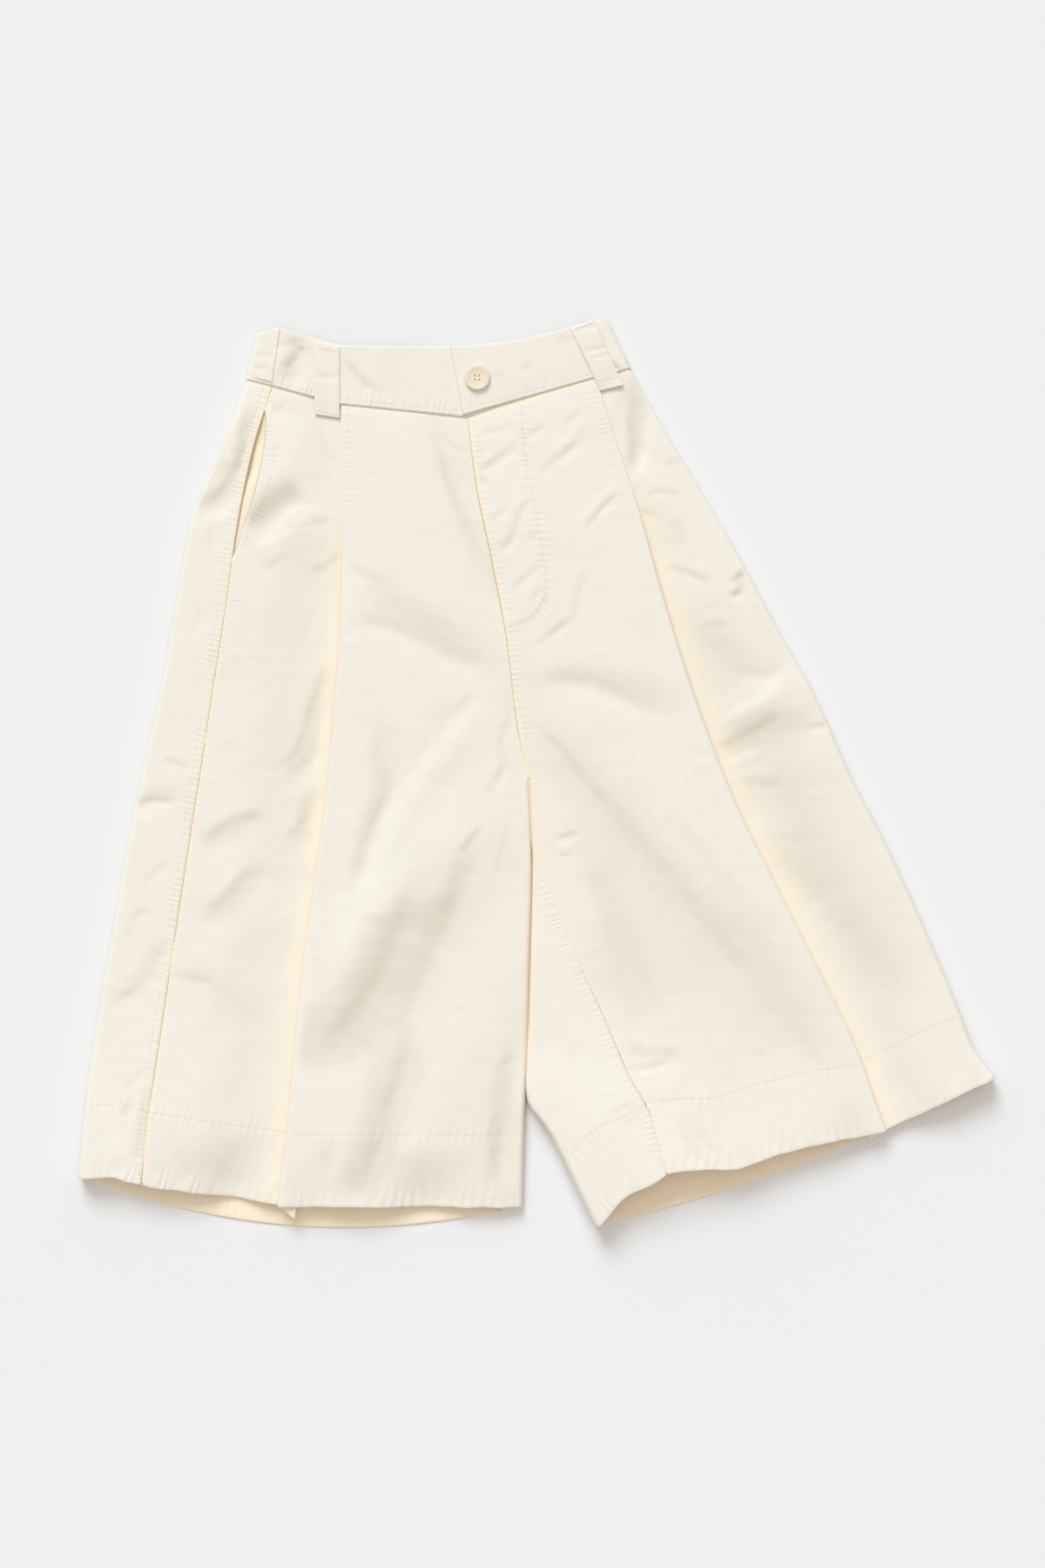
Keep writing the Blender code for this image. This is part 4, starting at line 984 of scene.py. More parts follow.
class Cloth:
    """A grid of points on the middle of one ply, row by row from the waist, with what is known there."""

    def __init__(self, row_of, places, out):
        rows = [row_of(down) for down in places]
        names = np.concatenate([[name] * len(values) for name, values in rows[0]])
        self.turned = np.char.endswith(names, "+")  # edges that lie under the rest
        self.parts = np.char.rstrip(names, "+")
        grid = np.stack([np.vstack([values for _, values in row]) for row in rows])
        self.points, self.share, self.fine = grid[..., :3].copy(), grid[..., 3], grid[..., 4]
        self.down, self.out = np.array(places), out
        self.kept = np.ones((len(places) - 1, grid.shape[1] - 1), bool)
        # shade and warm shade, noted here to be painted into the cloth's colour
        self.hollow, self.glow = np.zeros(grid.shape[:2]), np.zeros(grid.shape[:2])
        self.marks = None

    def press(self, creases):
        """Adds the folds, the creases and the hem's waves, and notes the shade and warm shade painted into
        the colour.
        """
        x, y = self.points[..., 0].copy(), self.points[..., 1].copy()
        in_band = 1 - smooth(self.down / WAIST_FADE)[:, None]
        fine = crumple(x, y) * 0.7
        fine += in_band * (crumple(x * 1.2, y * 1.2) * 0.5 - fine)
        # shade painted where the crumple dips
        hollow = fine * 0.6
        # warm shade painted along the waist seam
        self.glow[:] = 0.9 * bell((self.points[..., 1] - self.points[0, :, 1]) / SEAM_PAINTED_SHADE)
        for part in set(self.parts):
            at = self.parts == part
            # inward is the shade painted along the creases
            rise, inward = crease_height(part, x[:, at], y[:, at], creases)
            calm = 1 - in_band
            for line, warm_shade_amount in seams_beside(part):
                away, _ = from_line(line, x[:, at], y[:, at])
                calm = calm * smooth(np.abs(away) / SEAM_CALM)
                # warm shade painted beside the seam
                self.glow[:, at] = np.maximum(self.glow[:, at], warm_shade_amount * bell(away / SEAM_PAINTED_SHADE))
            fine[:, at] += rise * calm
            hollow[:, at] += inward
            if part == "left_centre":
                away, _ = from_line(even_line(on_plan(FLY_CURVE), 4), x[:, at], y[:, at])
                over = (y[:, at] > on_plan(FLY_CURVE)[-1, 1] - 4) & (self.down[:, None] < CROTCH)
                raised = FLY_RAISE * smooth(0.5 + away / (2 * FLY_SOFT))
                fine[:, at] += np.where(over, raised, 0) * (1 - in_band)
        folds = fold_height(x, y)
        # shade painted where the folds, the creases and the crumple dip
        self.hollow = self.share * folds * 0.6 + self.fine * hollow
        # warm shade painted on the underside where it shows, most inside the hems' gapes
        self.glow[:, self.parts == "floor"] = 0.3 + 0.6 * smooth((self.down - 0.88) / 0.1)[:, None]
        self.glow_between_legs(x, y)
        self.glow_beside_pleats(x, y)
        height = self.points[..., 2] + self.share * folds
        grown = smooth((self.down - HEM_LOW_FROM) / (1 - HEM_LOW_FROM))[:, None]
        height -= self.share * grown * sum(w.drop * bell((x - w.x) / w.wide) for w in HEM_LOWS)
        height = np.where(self.share > 0, np.maximum(height, LEAST_TOP), self.points[..., 2])
        self.points[..., 2] = height + self.fine * fine
        self.points[..., 1] -= self.share * hem_drop(x, self.down[:, None])

    def glow_between_legs(self, x, y):
        """Paints a strip of warm shade where the legs touch, with a darker core, and shade along it."""
        touch = 1 - smooth((self.down - LEGS_PART + 0.08) / 0.1)[:, None]
        self.glow[:, self.parts == "right_wrap"] = 0.8 * touch
        at = self.parts == "left_back"
        between = np.array([column(INNER_PLAN, "right", down) for down in np.linspace(CROTCH, 1, 30)])
        away, _ = from_line(between, x[:, at], y[:, at])
        near = touch * bell(away / LEGS_PAINTED_SHADE)
        painted_core_shade = touch * bell(away / LEGS_PAINTED_CORE)
        self.glow[:, at] = np.maximum(self.glow[:, at], 0.9 * near) + painted_core_shade
        self.hollow[:, at] -= 2.0 * near

    def glow_beside_pleats(self, x, y):
        """Paints warm shade on the cloth that runs in under a pleat, below its stitched part, and shade close
        to the pleat's edge.
        """
        below = smooth((self.down - 0.1) / 0.1)[:, None]
        for side, plan in (("right", RIGHT_PLAN), ("left", LEFT_PLAN)):
            at = self.parts == side + "_side"
            line = np.array([column(plan, "fold", down) for down in self.down[::6]])
            away, _ = from_line(line, x[:, at], y[:, at])
            near = 0.55 * bell(away / PLEAT_PAINTED_SHADE) + 0.25 * bell(away / SEAM_PAINTED_SHADE)
            self.glow[:, at] = np.maximum(self.glow[:, at], below * near)
            self.hollow[:, at] -= 1.6 * below * bell(away / 5.0)

    def ways(self):
        """The directions down and across, and the outward one, at each point."""
        down, across = np.gradient(self.points, axis=0), np.gradient(self.points, axis=1)
        outward = np.cross(down, across) * self.out
        for way in (down, across, outward):
            way /= np.maximum(np.linalg.norm(way, axis=2, keepdims=True), 1e-9)
        return down, across, outward

    def hem_line(self):
        """The point of each column that lies HEM_DEEP above the hem."""
        steps_down = lengths_of(np.diff(self.points, axis=0))
        left = np.cumsum(steps_down[::-1], axis=0)[::-1]
        at, columns = (left > HEM_DEEP).sum(0) - 1, np.arange(self.points.shape[1])
        share = (left[at, columns] - HEM_DEEP) / (left[at, columns] - left[at + 1, columns])
        start, end = self.points[at, columns], self.points[at + 1, columns]
        return start + (end - start) * share[:, None], at

    def add_rows(self, before, after):
        """Puts rows of points before the first and after the last."""
        for rows, first in ((before, True), (after, False)):
            count = len(rows)
            if not count:
                continue
            rows = np.array(rows)
            joined = lambda old, new: np.concatenate([new, old] if first else [old, new])
            edge = 0 if first else -1
            repeat = lambda a: np.repeat(a[edge][None], count, axis=0)
            self.points = joined(self.points, rows)
            self.kept = joined(self.kept, repeat(self.kept) & ~(self.turned[1:] | self.turned[:-1]))
            for name in ("share", "fine", "hollow", "glow"):
                setattr(self, name, joined(getattr(self, name), repeat(getattr(self, name))))
            if self.marks is not None:
                self.marks = joined(self.marks, repeat(self.marks))

    def hem(self):
        """Turns the hem up on the inside."""
        down, _, outward = self.ways()
        edge, way, out = self.points[-1], down[-1], outward[-1]
        rows, half = [], PLY_APART / 2
        for turn in np.linspace(0, math.pi, 5)[1:]:
            rows.append(edge - out * half * (1 - math.cos(turn)) + way * half * math.sin(turn))
        _, last = self.hem_line()
        top_row = int(last.max())
        inside = self.points - outward * PLY_APART
        picks = np.unique(np.linspace(len(self.points) - 2, top_row, 18).astype(int))[::-1]
        rows += [inside[i] for i in picks]
        self.add_rows([], rows)
        # warm shade painted on the inside of the turned-up hem
        self.glow[-len(picks) - 1 :] = 0.95

    def tuck_waist(self, deep=8.0):
        """Runs the cloth on, under the waistband, and lowers its edge there."""
        _, _, outward = self.ways()
        way = self.points[0] - self.points[4]
        way /= lengths_of(way)[:, None]
        outward[:, self.turned] *= -1
        outward[(outward[..., 2] < 0) & (self.parts == "tuck")] *= -1
        lowered = lengths_of(self.points - self.points[0])
        self.points -= outward * (WAIST_STEP * (1 - smooth(lowered / SEAM_RISE)))[..., None]
        rows = []
        for s in (1.0, 0.6, 0.3, 0.12):
            rows.append(self.points[0] + way * deep * s - outward[0] * SEAM_DIP * min(1, 1.8 * s))
        self.add_rows(rows, [])

    def double(self, apart):
        """Folds the cloth double over its last row: an outer and an inner ply, sewn shut at the first end."""
        up, _, outward = self.ways()
        half = np.full(self.points.shape[1], apart / 2)
        half[:4] *= np.array([0.25, 0.6, 0.85, 1.0])
        half = half[None, :, None]
        outer, inner = self.points + outward * half, self.points - outward * half
        rows = []
        for turn in np.linspace(0, math.pi, 7)[1:-1]:
            rows.append(self.points[-1] + half[0] * (outward[-1] * math.cos(turn) + up[-1] * math.sin(turn)))
        rows += list(inner[::-1])
        self.points = outer
        self.add_rows([], rows)

    def mark_seams(self, seams, rows=()):
        """Notes for the finish, of the seams that run down the cloth and of the rows across it."""
        self.marks = np.concatenate([self.marked(seams), self.marked(rows)], axis=-1)

    def marked(self, seams):
        """At each point: off the nearest stitches, half their rows' distance, turns of the ripples,
        their height, and the depth of the stitches' groove."""
        x, y = self.points[..., 0], self.points[..., 1]
        marks = np.zeros(x.shape + (5,))
        marks[..., 0] = 99.0
        nearest, second = np.full(x.shape, 99.0), np.full(x.shape, 99.0)
        for number, (parts, line, rows_apart, wide, pitch, high, groove) in enumerate(seams):
            at = np.isin(self.parts, parts)
            if not at.any():
                continue
            away, along = from_line(line, x[:, at], y[:, at])
            long = lengths_of(np.diff(line[:, :2], axis=0)).sum()
            ends = smooth(np.minimum(along, long - along) / 4 + 0.02)
            seed = np.full(along.shape, 50.0 * number)
            slant = 0.02 * away * (1 + CLOUDS["broad"].at(along, seed))
            turns = along / pitch + 0.7 * CLOUDS["soft"].at(along * 1.2, seed) + slant
            uneven = 0.8 + 0.55 * CLOUDS["small"].at(along * 0.8, seed + 31)
            reach = wide * (1 + 0.3 * CLOUDS["small"].at(along * 0.9, seed + np.where(away > 0, 14.0, 22.0)))
            strength = high * np.maximum(0.1, uneven) * bell(away / reach) * ends
            dent = groove * ends * smooth((1.4 * wide - np.abs(away)) / wide)
            far = np.abs(away) / wide
            closer = far < nearest[:, at]
            new = np.stack([away, np.full(away.shape, rows_apart / 2), turns, strength, dent], axis=-1)
            marks[:, at] = np.where(closer[..., None], new, marks[:, at])
            second[:, at] = np.where(closer, nearest[:, at], np.minimum(second[:, at], far))
            nearest[:, at] = np.where(closer, far, nearest[:, at])
        marks[..., 3:] *= smooth((second - nearest - 0.4) / 0.8)[..., None]
        return marks

    def lengths(self):
        """The cut's width, length and area, in metres."""
        down = lengths_of(np.diff(self.points, axis=0))
        across = lengths_of(np.diff(self.points, axis=1))
        a = self.points[1:, :-1] - self.points[:-1, :-1]
        b = self.points[:-1, 1:] - self.points[:-1, :-1]
        area = (lengths_of(np.cross(a, b)) * self.kept).sum()
        wide = across.sum(1).max()
        long = down.sum(0).max()
        return wide * MM, long * MM, min(area * MM * MM, wide * long * MM * MM)

    def flat_places(self):
        """Where each point lies on the flat cloth, in metres, for the weave."""
        across = lengths_of(np.diff(self.points, axis=1))
        down = lengths_of(np.diff(self.points, axis=0))
        middle = self.points.shape[1] // 2
        u = np.concatenate([np.zeros((len(across), 1)), np.cumsum(across, axis=1)], axis=1)
        u -= u[:, middle : middle + 1]
        v = np.concatenate([[0], np.cumsum(down[:, middle])])
        return np.stack([u, np.repeat(v[:, None], u.shape[1], 1)], axis=-1) * MM

    def make(self, name, wall, finish):
        """A named object: the grid as a surface, given its wall by Solidify."""
        rows, columns = self.points.shape[:2]
        index = np.arange(rows * columns).reshape(rows, columns)
        quads = np.stack([index[:-1, :-1], index[1:, :-1], index[1:, 1:], index[:-1, 1:]], -1)
        quads = quads[self.kept]
        if self.out < 0:
            quads = quads[:, ::-1]
        used, quads = np.unique(quads, return_inverse=True)
        quads = quads.reshape(-1, 4)
        data = bpy.data.meshes.new(name)
        data.from_pydata((self.points.reshape(-1, 3)[used] * MM).tolist(), [], quads.tolist())
        flat = self.flat_places().reshape(-1, 2)[used]
        layer = data.uv_layers.new(name="UVMap")
        layer.data.foreach_set("uv", flat[quads.ravel()].astype(np.float32).ravel())
        # the painted shade and warm shade go to the finish as notes
        notes = {"hollow": self.hollow, "glow": self.glow}
        if self.marks is not None:
            for k, note in enumerate(SEAM_NOTES + ROW_NOTES):
                notes[note] = self.marks[..., k]
        for note, values in notes.items():
            attribute = data.attributes.new(note, "FLOAT", "POINT")
            attribute.data.foreach_set("value", values.reshape(-1)[used].astype(np.float32))
        return finished(name, data, finish, wall)


def face_out(data):
    """Turns the faces of a closed mesh outwards."""
    mesh = bmesh.new()
    mesh.from_mesh(data)
    bmesh.ops.recalc_face_normals(mesh, faces=mesh.faces)
    mesh.to_mesh(data)
    mesh.free()


def finished(name, data, finish, wall=None):
    """Links the mesh as a smooth piece that rides on the root, with its wall if it is a sheet."""
    piece = bpy.data.objects.new(name, data)
    bpy.context.scene.collection.objects.link(piece)
    data.materials.append(finish)
    data.shade_smooth()
    if wall:
        thicken = piece.modifiers.new("wall", "SOLIDIFY")
        thicken.thickness = wall * MM
        thicken.offset = 0
    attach(piece, "root")
    return piece


# ---- Finishes ----
class Value:
    """A socket of a finish. Sums and products of values add Math nodes."""

    def __init__(self, finish, socket):
        self.finish, self.socket = finish, socket

    def maths(self, operation, *others):
        return self.finish.maths(operation, self, *others)

    def __add__(self, other):
        return self.maths("ADD", other)

    def __sub__(self, other):
        return self.maths("SUBTRACT", other)

    def __mul__(self, other):
        return self.maths("MULTIPLY", other)

    def __rsub__(self, other):
        return self.finish.maths("SUBTRACT", other, self)

    __radd__, __rmul__ = __add__, __mul__


class Finish:
    """A procedural material that is being made."""

    def __init__(self, name, colour):
        self.material = bpy.data.materials.new(name)
        self.material.use_nodes = True
        self.material.diffuse_color = (*colour, 1)
        self.tree = self.material.node_tree
        self.shader = self.tree.nodes["Principled BSDF"]
        self.shader.inputs["Base Color"].default_value = (*colour, 1)

    def set(self, **sockets):
        """Gives the shader's sockets their values or links."""
        for name, value in sockets.items():
            self.feed(self.shader.inputs[name.replace("_", " ")], value)

    def node(self, kind, settings=(), **sockets):
        """A node of that kind: its settings first, then its sockets' values or links by name."""
        made = self.tree.nodes.new("ShaderNode" + kind)
        for name, value in dict(settings).items():
            setattr(made, name, value)
        for name, value in sockets.items():
            self.feed(made.inputs[int(name[1:]) if name[1:].isdigit() else name.replace("_", " ")], value)
        return made

    def feed(self, socket, value):
        """Links or sets a socket."""
        if isinstance(value, Value):
            self.tree.links.new(value.socket, socket)
        else:
            socket.default_value = value

    def maths(self, operation, *values):
        made = self.tree.nodes.new("ShaderNodeMath")
        made.operation = operation
        for socket, value in zip(made.inputs, values):
            self.feed(socket, value)
        return Value(self, made.outputs[0])

    def value(self, node, output=0):
        return Value(self, node.outputs[output])

    def note(self, name):
        """What the cloth's points note under that name."""
        return self.value(self.node("Attribute", {"attribute_name": name}), "Fac")

    def noise(self, place, scale, detail=3.0, rough=0.5):
        node = self.node("TexNoise", Vector=place, Scale=scale, Detail=detail, Roughness=rough)
        return self.value(node, "Fac")

    def mixed(self, share, first, second):
        node = self.node("Mix", {"data_type": "RGBA"}, _0=share, _6=first, _7=second)
        return self.value(node, 2)

    def bump(self, height, deep=0.001):
        """Gives the finish its relief."""
        node = self.node("Bump", Height=height, Distance=deep, Strength=1.0)
        self.tree.links.new(node.outputs[0], self.shader.inputs["Normal"])


def cotton(colour, warm_shade_colour, seams):
    """Heavy cotton twill: diagonal ribs, slubs, a soft nap, with shade and warm shade painted into its
    creases, seams and hollows.
    """
    f = Finish("cream_twill" if seams else "cream_twill_plain", colour)
    flat = f.value(f.node("TexCoord"), "UV")
    split = f.node("SeparateXYZ", Vector=flat)
    u, v = f.value(split, 0), f.value(split, 1)
    place = f.value(f.node("TexCoord"), "Object")
    ribs = (u * (math.tau / 0.0013) + v * (math.tau / 0.0009)).maths("SINE")
    threads = (u * (math.tau / 0.00062)).maths("SINE") * (v * (math.tau / 0.0007)).maths("SINE")
    slub = f.noise(place, 420.0, 2.0)
    patches = f.noise(place, 26.0, 3.0)
    fine = f.noise(place, 160.0, 4.0, 0.6)
    height = ribs * 0.018 + threads * 0.008 + slub * 0.05 + fine * 0.16
    # painted shade: how far the point lies in shade, from the noted hollows; it darkens and warms the colour
    deep = (f.note("hollow") * -0.3).maths("MAXIMUM", 0.0)
    for away, rows, turn, high, groove in (SEAM_NOTES, ROW_NOTES) if seams else ():
        off = (f.note(away).maths("ABSOLUTE") - f.note(rows)) * (1 / 0.9)
        dent = (off * off * -1.0).maths("EXPONENT") * f.note(groove)
        ripple = (f.note(turn) * math.tau).maths("SINE") * f.note(high)
        height = height + ripple - dent
        # the stitches' grooves and the ripples' troughs get painted shade too
        deep = deep + dent * 0.8 + (ripple * -0.5).maths("MAXIMUM", 0.0)
    deep = deep.maths("MINIMUM", 1.0)
    # painted warm shade: where bounced light warms the shade, in seams, pleats, gapes and between the legs
    glow = f.note("glow")
    # the colour turns towards the warm shade colour where shade or warm shade is painted
    base = f.mixed((deep * 0.25 + glow).maths("MINIMUM", 1.0), (*colour, 1), (*warm_shade_colour, 1))
    # above 1 the painted warm shade gets a darker painted core
    painted_core_shade = (glow - 1.0).maths("MAXIMUM", 0.0)
    # random tone of the weave, less the painted shade and the painted core
    tone_and_painted_shade = patches * 0.05 + slub * 0.05 + ribs * 0.008 + 0.95 - deep * 0.09 - painted_core_shade * 0.24
    colour_with_painted_shade = f.node("VectorMath", {"operation": "SCALE"}, _0=base, Scale=tone_and_painted_shade)
    f.set(Base_Color=f.value(colour_with_painted_shade), Roughness=fine * 0.12 + 0.82)
    f.set(Sheen_Weight=0.2, Sheen_Roughness=0.45, Specular_IOR_Level=0.25)
    f.bump(height)
    return f.material


def thread_finish(colour):
    """Cotton thread: a fine twist and a little sheen."""
    f = Finish("cream_thread", colour)
    place = f.value(f.node("TexCoord"), "Object")
    tone = f.noise(place, 300.0, 2.0)
    dark = tuple(c * 0.93 for c in colour)
    f.set(Base_Color=f.mixed(tone, (*colour, 1), (*dark, 1)), Roughness=0.6, Sheen_Weight=0.3)
    f.bump(f.noise(place, 2500.0, 1.0) * 0.05)
    return f.material


def button_finish(colour):
    """Horn-like resin: cloudy cream with a soft gloss."""
    f = Finish("cream_resin", colour)
    place = f.value(f.node("TexCoord"), "Object")
    cloud = f.noise(place, 130.0, 4.0)
    streak = f.noise(f.value(f.node("Mapping", Vector=place, Scale=(90.0, 320.0, 120.0))), 1.0, 3.0)
    dark = tuple(c * k for c, k in zip(colour, (0.90, 0.84, 0.74)))
    tone = f.mixed((cloud * 0.6 + streak * 0.4 - 0.3).maths("MAXIMUM", 0.0), (*colour, 1), (*dark, 1))
    f.set(Base_Color=tone, Roughness=cloud * 0.15 + 0.28, Coat_Weight=0.25, Coat_Roughness=0.18)
    f.bump(cloud * 0.04)
    return f.material


def floor_finish(colour):
    """A pale, matte floor."""
    f = Finish("pale_floor", colour)
    place = f.value(f.node("TexCoord"), "Object")
    tone = f.mixed(f.noise(place, 6.0, 2.0), (*colour, 1), tuple(c * 0.995 for c in colour) + (1,))
    f.set(Base_Color=tone, Roughness=0.95, Specular_IOR_Level=0.1)
    return f.material


def colours():
    """The colours that a user may change."""
    return bpy.context.scene.shorts_colours


def cloth_finish(seams=True):
    """The cloth's finish, made once; without seams for a strap."""
    made = bpy.data.materials.get("cream_twill" if seams else "cream_twill_plain")
    return made or cotton(tuple(colours().cotton), tuple(colours().cotton_in_folds), seams)


def thread():
    """The thread's finish, made once."""
    return bpy.data.materials.get("cream_thread") or thread_finish(tuple(colours().thread))


# ---- What a user may change ----
class ShortsSizes(bpy.types.PropertyGroup):
    cloth: FloatProperty(name="Cloth", description="Thickness of one ply", default=0.0008, unit="LENGTH")
    creases: FloatProperty(name="Creases", description="How deep the creases are pressed", default=1.0)
    thread: FloatProperty(
        name="Thread", description="Thickness of the stitching thread", default=0.00042, unit="LENGTH"
    )
    stitch: FloatProperty(
        name="Stitch", description="Length of one stitch with its gap", default=0.0032, unit="LENGTH"
    )
    camera_height: FloatProperty(
        name="Camera height", description="Camera above the floor", default=2.412, unit="LENGTH"
    )


class ShortsColours(bpy.types.PropertyGroup):
    cotton: FloatVectorProperty(
        name="Cotton", description="Colour of the cloth", default=(0.826, 0.781, 0.692), subtype="COLOR"
    )
    # the warm colour painted where the cloth is noted as lying in shade or warm shade
    cotton_in_folds: FloatVectorProperty(
        name="Cotton in folds", description="Colour in its folds", default=(0.92, 0.80, 0.61), subtype="COLOR"
    )
    thread: FloatVectorProperty(
        name="Thread", description="Colour of the stitching", default=(0.86, 0.80, 0.70), subtype="COLOR"
    )
    button: FloatVectorProperty(
        name="Button", description="Colour of the button", default=(0.80, 0.70, 0.565), subtype="COLOR"
    )
    floor: FloatVectorProperty(
        name="Floor", description="Colour of the floor", default=(0.80, 0.80, 0.80), subtype="COLOR"
    )


def sizes():
    """The sizes that a user may change."""
    return bpy.context.scene.shorts_sizes


def wall():
    """The thickness of one ply, in millimetres."""
    return sizes().cloth / MM


def seam_line(name, stitched=False):
    """A seam's plan points, with the hem's waves: all of it, or only where its stitches show."""
    if name == "right_side_seam":
        table, column_name, first = RIGHT_PLAN, "seam", 0.0
    else:
        table, column_name, first = INNER_PLAN, "inseam", INSEAM_SHOWS if stitched else CROTCH
    points = []
    for down in np.linspace(first, 1, 60):
        x, y = column(table, column_name, down)
        points.append((x, y - hem_drop(x, down)))
    return np.array(points)


def sewn_line(seam):
    """Where a seam is stitched: along the panels, or as it is placed on the chart."""
    return seam_line(seam.name, True) if seam.line is None else even_line(on_plan(seam.line), 4)


def seams_of(*parts):
    """The rippled seams of those parts: each as parts, middle line and sizes."""
    found = []
    for seam in SEAMS:
        if set(seam.parts) & set(parts):
            line = beside(sewn_line(seam), seam.aside)
            found.append((seam.parts, line, seam.rows_apart, seam.wide, seam.pitch, seam.high, seam.groove))
    return found


def hem_rows(cloth, parts, sewn):
    """The hem's row of stitches and its rippled edge on each of those parts; sewn takes the rows."""
    found = []
    line, _ = cloth.hem_line()
    for part in parts:
        columns = cloth.parts == part
        edge_ripple = HEM_INSIDE if part == "floor" else HEM_EDGE_RIPPLE
        for points, ripple in ((line[columns], HEM_RIPPLE), (cloth.points[-1, columns], edge_ripple)):
            long = lengths_of(np.diff(points[:, :2], axis=0))
            points = points[np.concatenate([[True], long > 0.5])]
            found.append(((part,), points[:, :2], *ripple))
            if ripple is HEM_RIPPLE:
                sewn.append(points)
    return found


def lay_sheet(piece, cloth, node_names):
    """Hides the solids that the sheet replaces, and prints its cut."""
    wide, long, area = cloth.lengths()
    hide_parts(*node_names)
    print(f"{piece.name}: {wide:.3f} x {long:.3f} m, {area:.4f} m2")


def panel(name, row_of, out, parts, hem_parts, nodes, keep=None):
    """Lays one panel, with its hem and its waist; keep leaves out cloth that isn't there."""
    cloth = Cloth(row_of, row_places(), out)
    if keep is not None:
        keep(cloth)
    cloth.press(sizes().creases)
    cloth.mark_seams(seams_of(*parts), hem_rows(cloth, hem_parts, SEWN["stitches_hems"]))
    cloth.hem()
    cloth.tuck_waist()
    piece = cloth.make(name, wall(), cloth_finish())
    lay_sheet(piece, cloth, nodes)
    return piece


def drop_above_crotch(cloth):
    """The back comes up between the legs only below the crotch."""
    first = int(np.argmax(cloth.parts == "left_back"))
    cloth.kept[cloth.down[:-1] < CROTCH - 5 * CROTCH_STEP, first - 1 :] = False


def part_at_crotch(cloth):
    """The run under the fly and the fold between the legs aren't joined at the crotch."""
    first = int(np.argmax(cloth.parts == "right_wrap"))
    row = int(np.sum(cloth.down < CROTCH - CROTCH_STEP / 2)) - 1
    cloth.kept[row, first + 4 :] = False


class SHORTS_OT_fronts(bpy.types.Operator):
    """Lay the two pleated front panels"""

    bl_idname, bl_label = "shorts.fronts", "Front panels"

    def execute(self, context):
        parts, below = ("right_side", "right_centre"), ["cloth_back_right"]
        panel("cloth_front_right", right_front_row, 1, parts, parts, ["front_right"], part_at_crotch)
        parts, below = ("left_side", "left_centre"), ["cloth_back_left"]
        panel("cloth_front_left", left_front_row, -1, parts, parts, ["front_left", "fly"])
        return {"FINISHED"}


class SHORTS_OT_backs(bpy.types.Operator):
    """Lay the two back panels, which come up round the side and between the legs"""

    bl_idname, bl_label = "shorts.backs", "Back panels"

    def execute(self, context):
        for side, keep in (("right", None), ("left", drop_above_crotch)):
            part = side + "_back"
            row_of = lambda down: back_row(side, down)
            panel("cloth_back_" + side, row_of, 1, (part,), (part, "floor"), ["back_" + side], keep)
        return {"FINISHED"}


# ---- The waistband ----
def band_point(half, tops, name, share):
    """A point of the band on one of the lines, from the waist seam (0) to its top edge (1)."""
    low = getattr(half, name)
    if half.side == "left" and name == "inner":
        low = np.array(LEFT_BAND_CORNER)
    return low + (np.array(tops[name], float) - low) * share


def band_line(half, tops, level, names, share, count, bulge=0.0):
    """The band's cloth in one row, from one of its lines to another."""
    start, end = (band_point(half, tops, name, share) for name in names)
    first, last = (level[name] for name in names)
    s = evenly(count)
    height = first + (last - first) * s + bulge * 4 * s * (1 - s)
    return strip(half.side + "_band", start + (end - start) * s[:, None], height, 0.0, 1.0)


def right_band_row(share):
    """The band's right front, from the side seam to its end under the left one."""
    half, left, tops = Half("right", 0.0), Half("left", 0.0), RIGHT_BAND_TOP
    level = half.height
    bulge = level["crown"] - (level["fold"] + level["inner"]) / 2
    seam = band_point(half, tops, "seam", share)
    run_on, deeper = np.array([[6.0], [3.0], [0.8]]), np.array([1.9, 1.9, 1.2])
    plan = seam - toward(half.seam, half.fold) * run_on
    under = strip("right_band", plan, level["seam"] - deeper, 0.0, 1.0)
    side = band_line(half, tops, level, ("seam", "fold"), share, 34)
    side[1][:, 2] -= SEAM_STEP * (1 - smooth(lengths_of(side[1][:, :2] - seam) / 6))
    centre = band_line(half, tops, level, ("fold", "inner"), share, 50, bulge)
    inner = band_point(half, tops, "inner", share)
    along = toward(inner, band_point(left, LEFT_BAND_TOP, "fold", share))
    s = evenly(10)[1:, None]
    plan = inner + along * BAND_OVERLAP * s
    plan[:, 1:] -= FRONT_BAND_SAG * share * np.sin(0.6 * s)
    lap = strip("right_band", plan, level["inner"], 0.0, 0.0)
    return [under, side, ("right_band", centre[1][1:]), lap]


def left_band_row(share):
    """The band's left front, from its buttonhole end round the left side onto the floor."""
    half, tops = Half("left", 0.0), LEFT_BAND_TOP
    level = dict(half.height, inner=half.height["right"] + BAND_STEP)
    part, top = band_line(half, tops, level, ("inner", "fold"), share, 58)
    top[:, 1] -= FRONT_BAND_SAG * share * np.sin(np.pi * evenly(58))
    top[:3, 2] -= (0.45, 0.25, 0.1)
    outer = band_point(half, tops, "outer", share)
    inward = toward(outer, band_point(half, tops, "fold", share))
    _, ring = half.round_fold(part, outer, inward, BAND_ROUND, level["rim"], 14, BAND_ON_FLOOR)
    ring = ring[::-1]
    ring[:, 3:] = 0
    way = evenly(8)[1:-1, None]
    between = top[-1, :3] + (ring[0, :3] - top[-1, :3]) * way
    bridge = strip(part, between[:, :2], between[:, 2], 0.0, 1.0)
    reach = np.linspace(0, TURN_UNDER, 6)[1:, None]
    floor = strip(part, outer + inward * (BAND_ROUND + reach), BAND_ON_FLOOR)
    return [(part, top), bridge, (part, ring), floor]


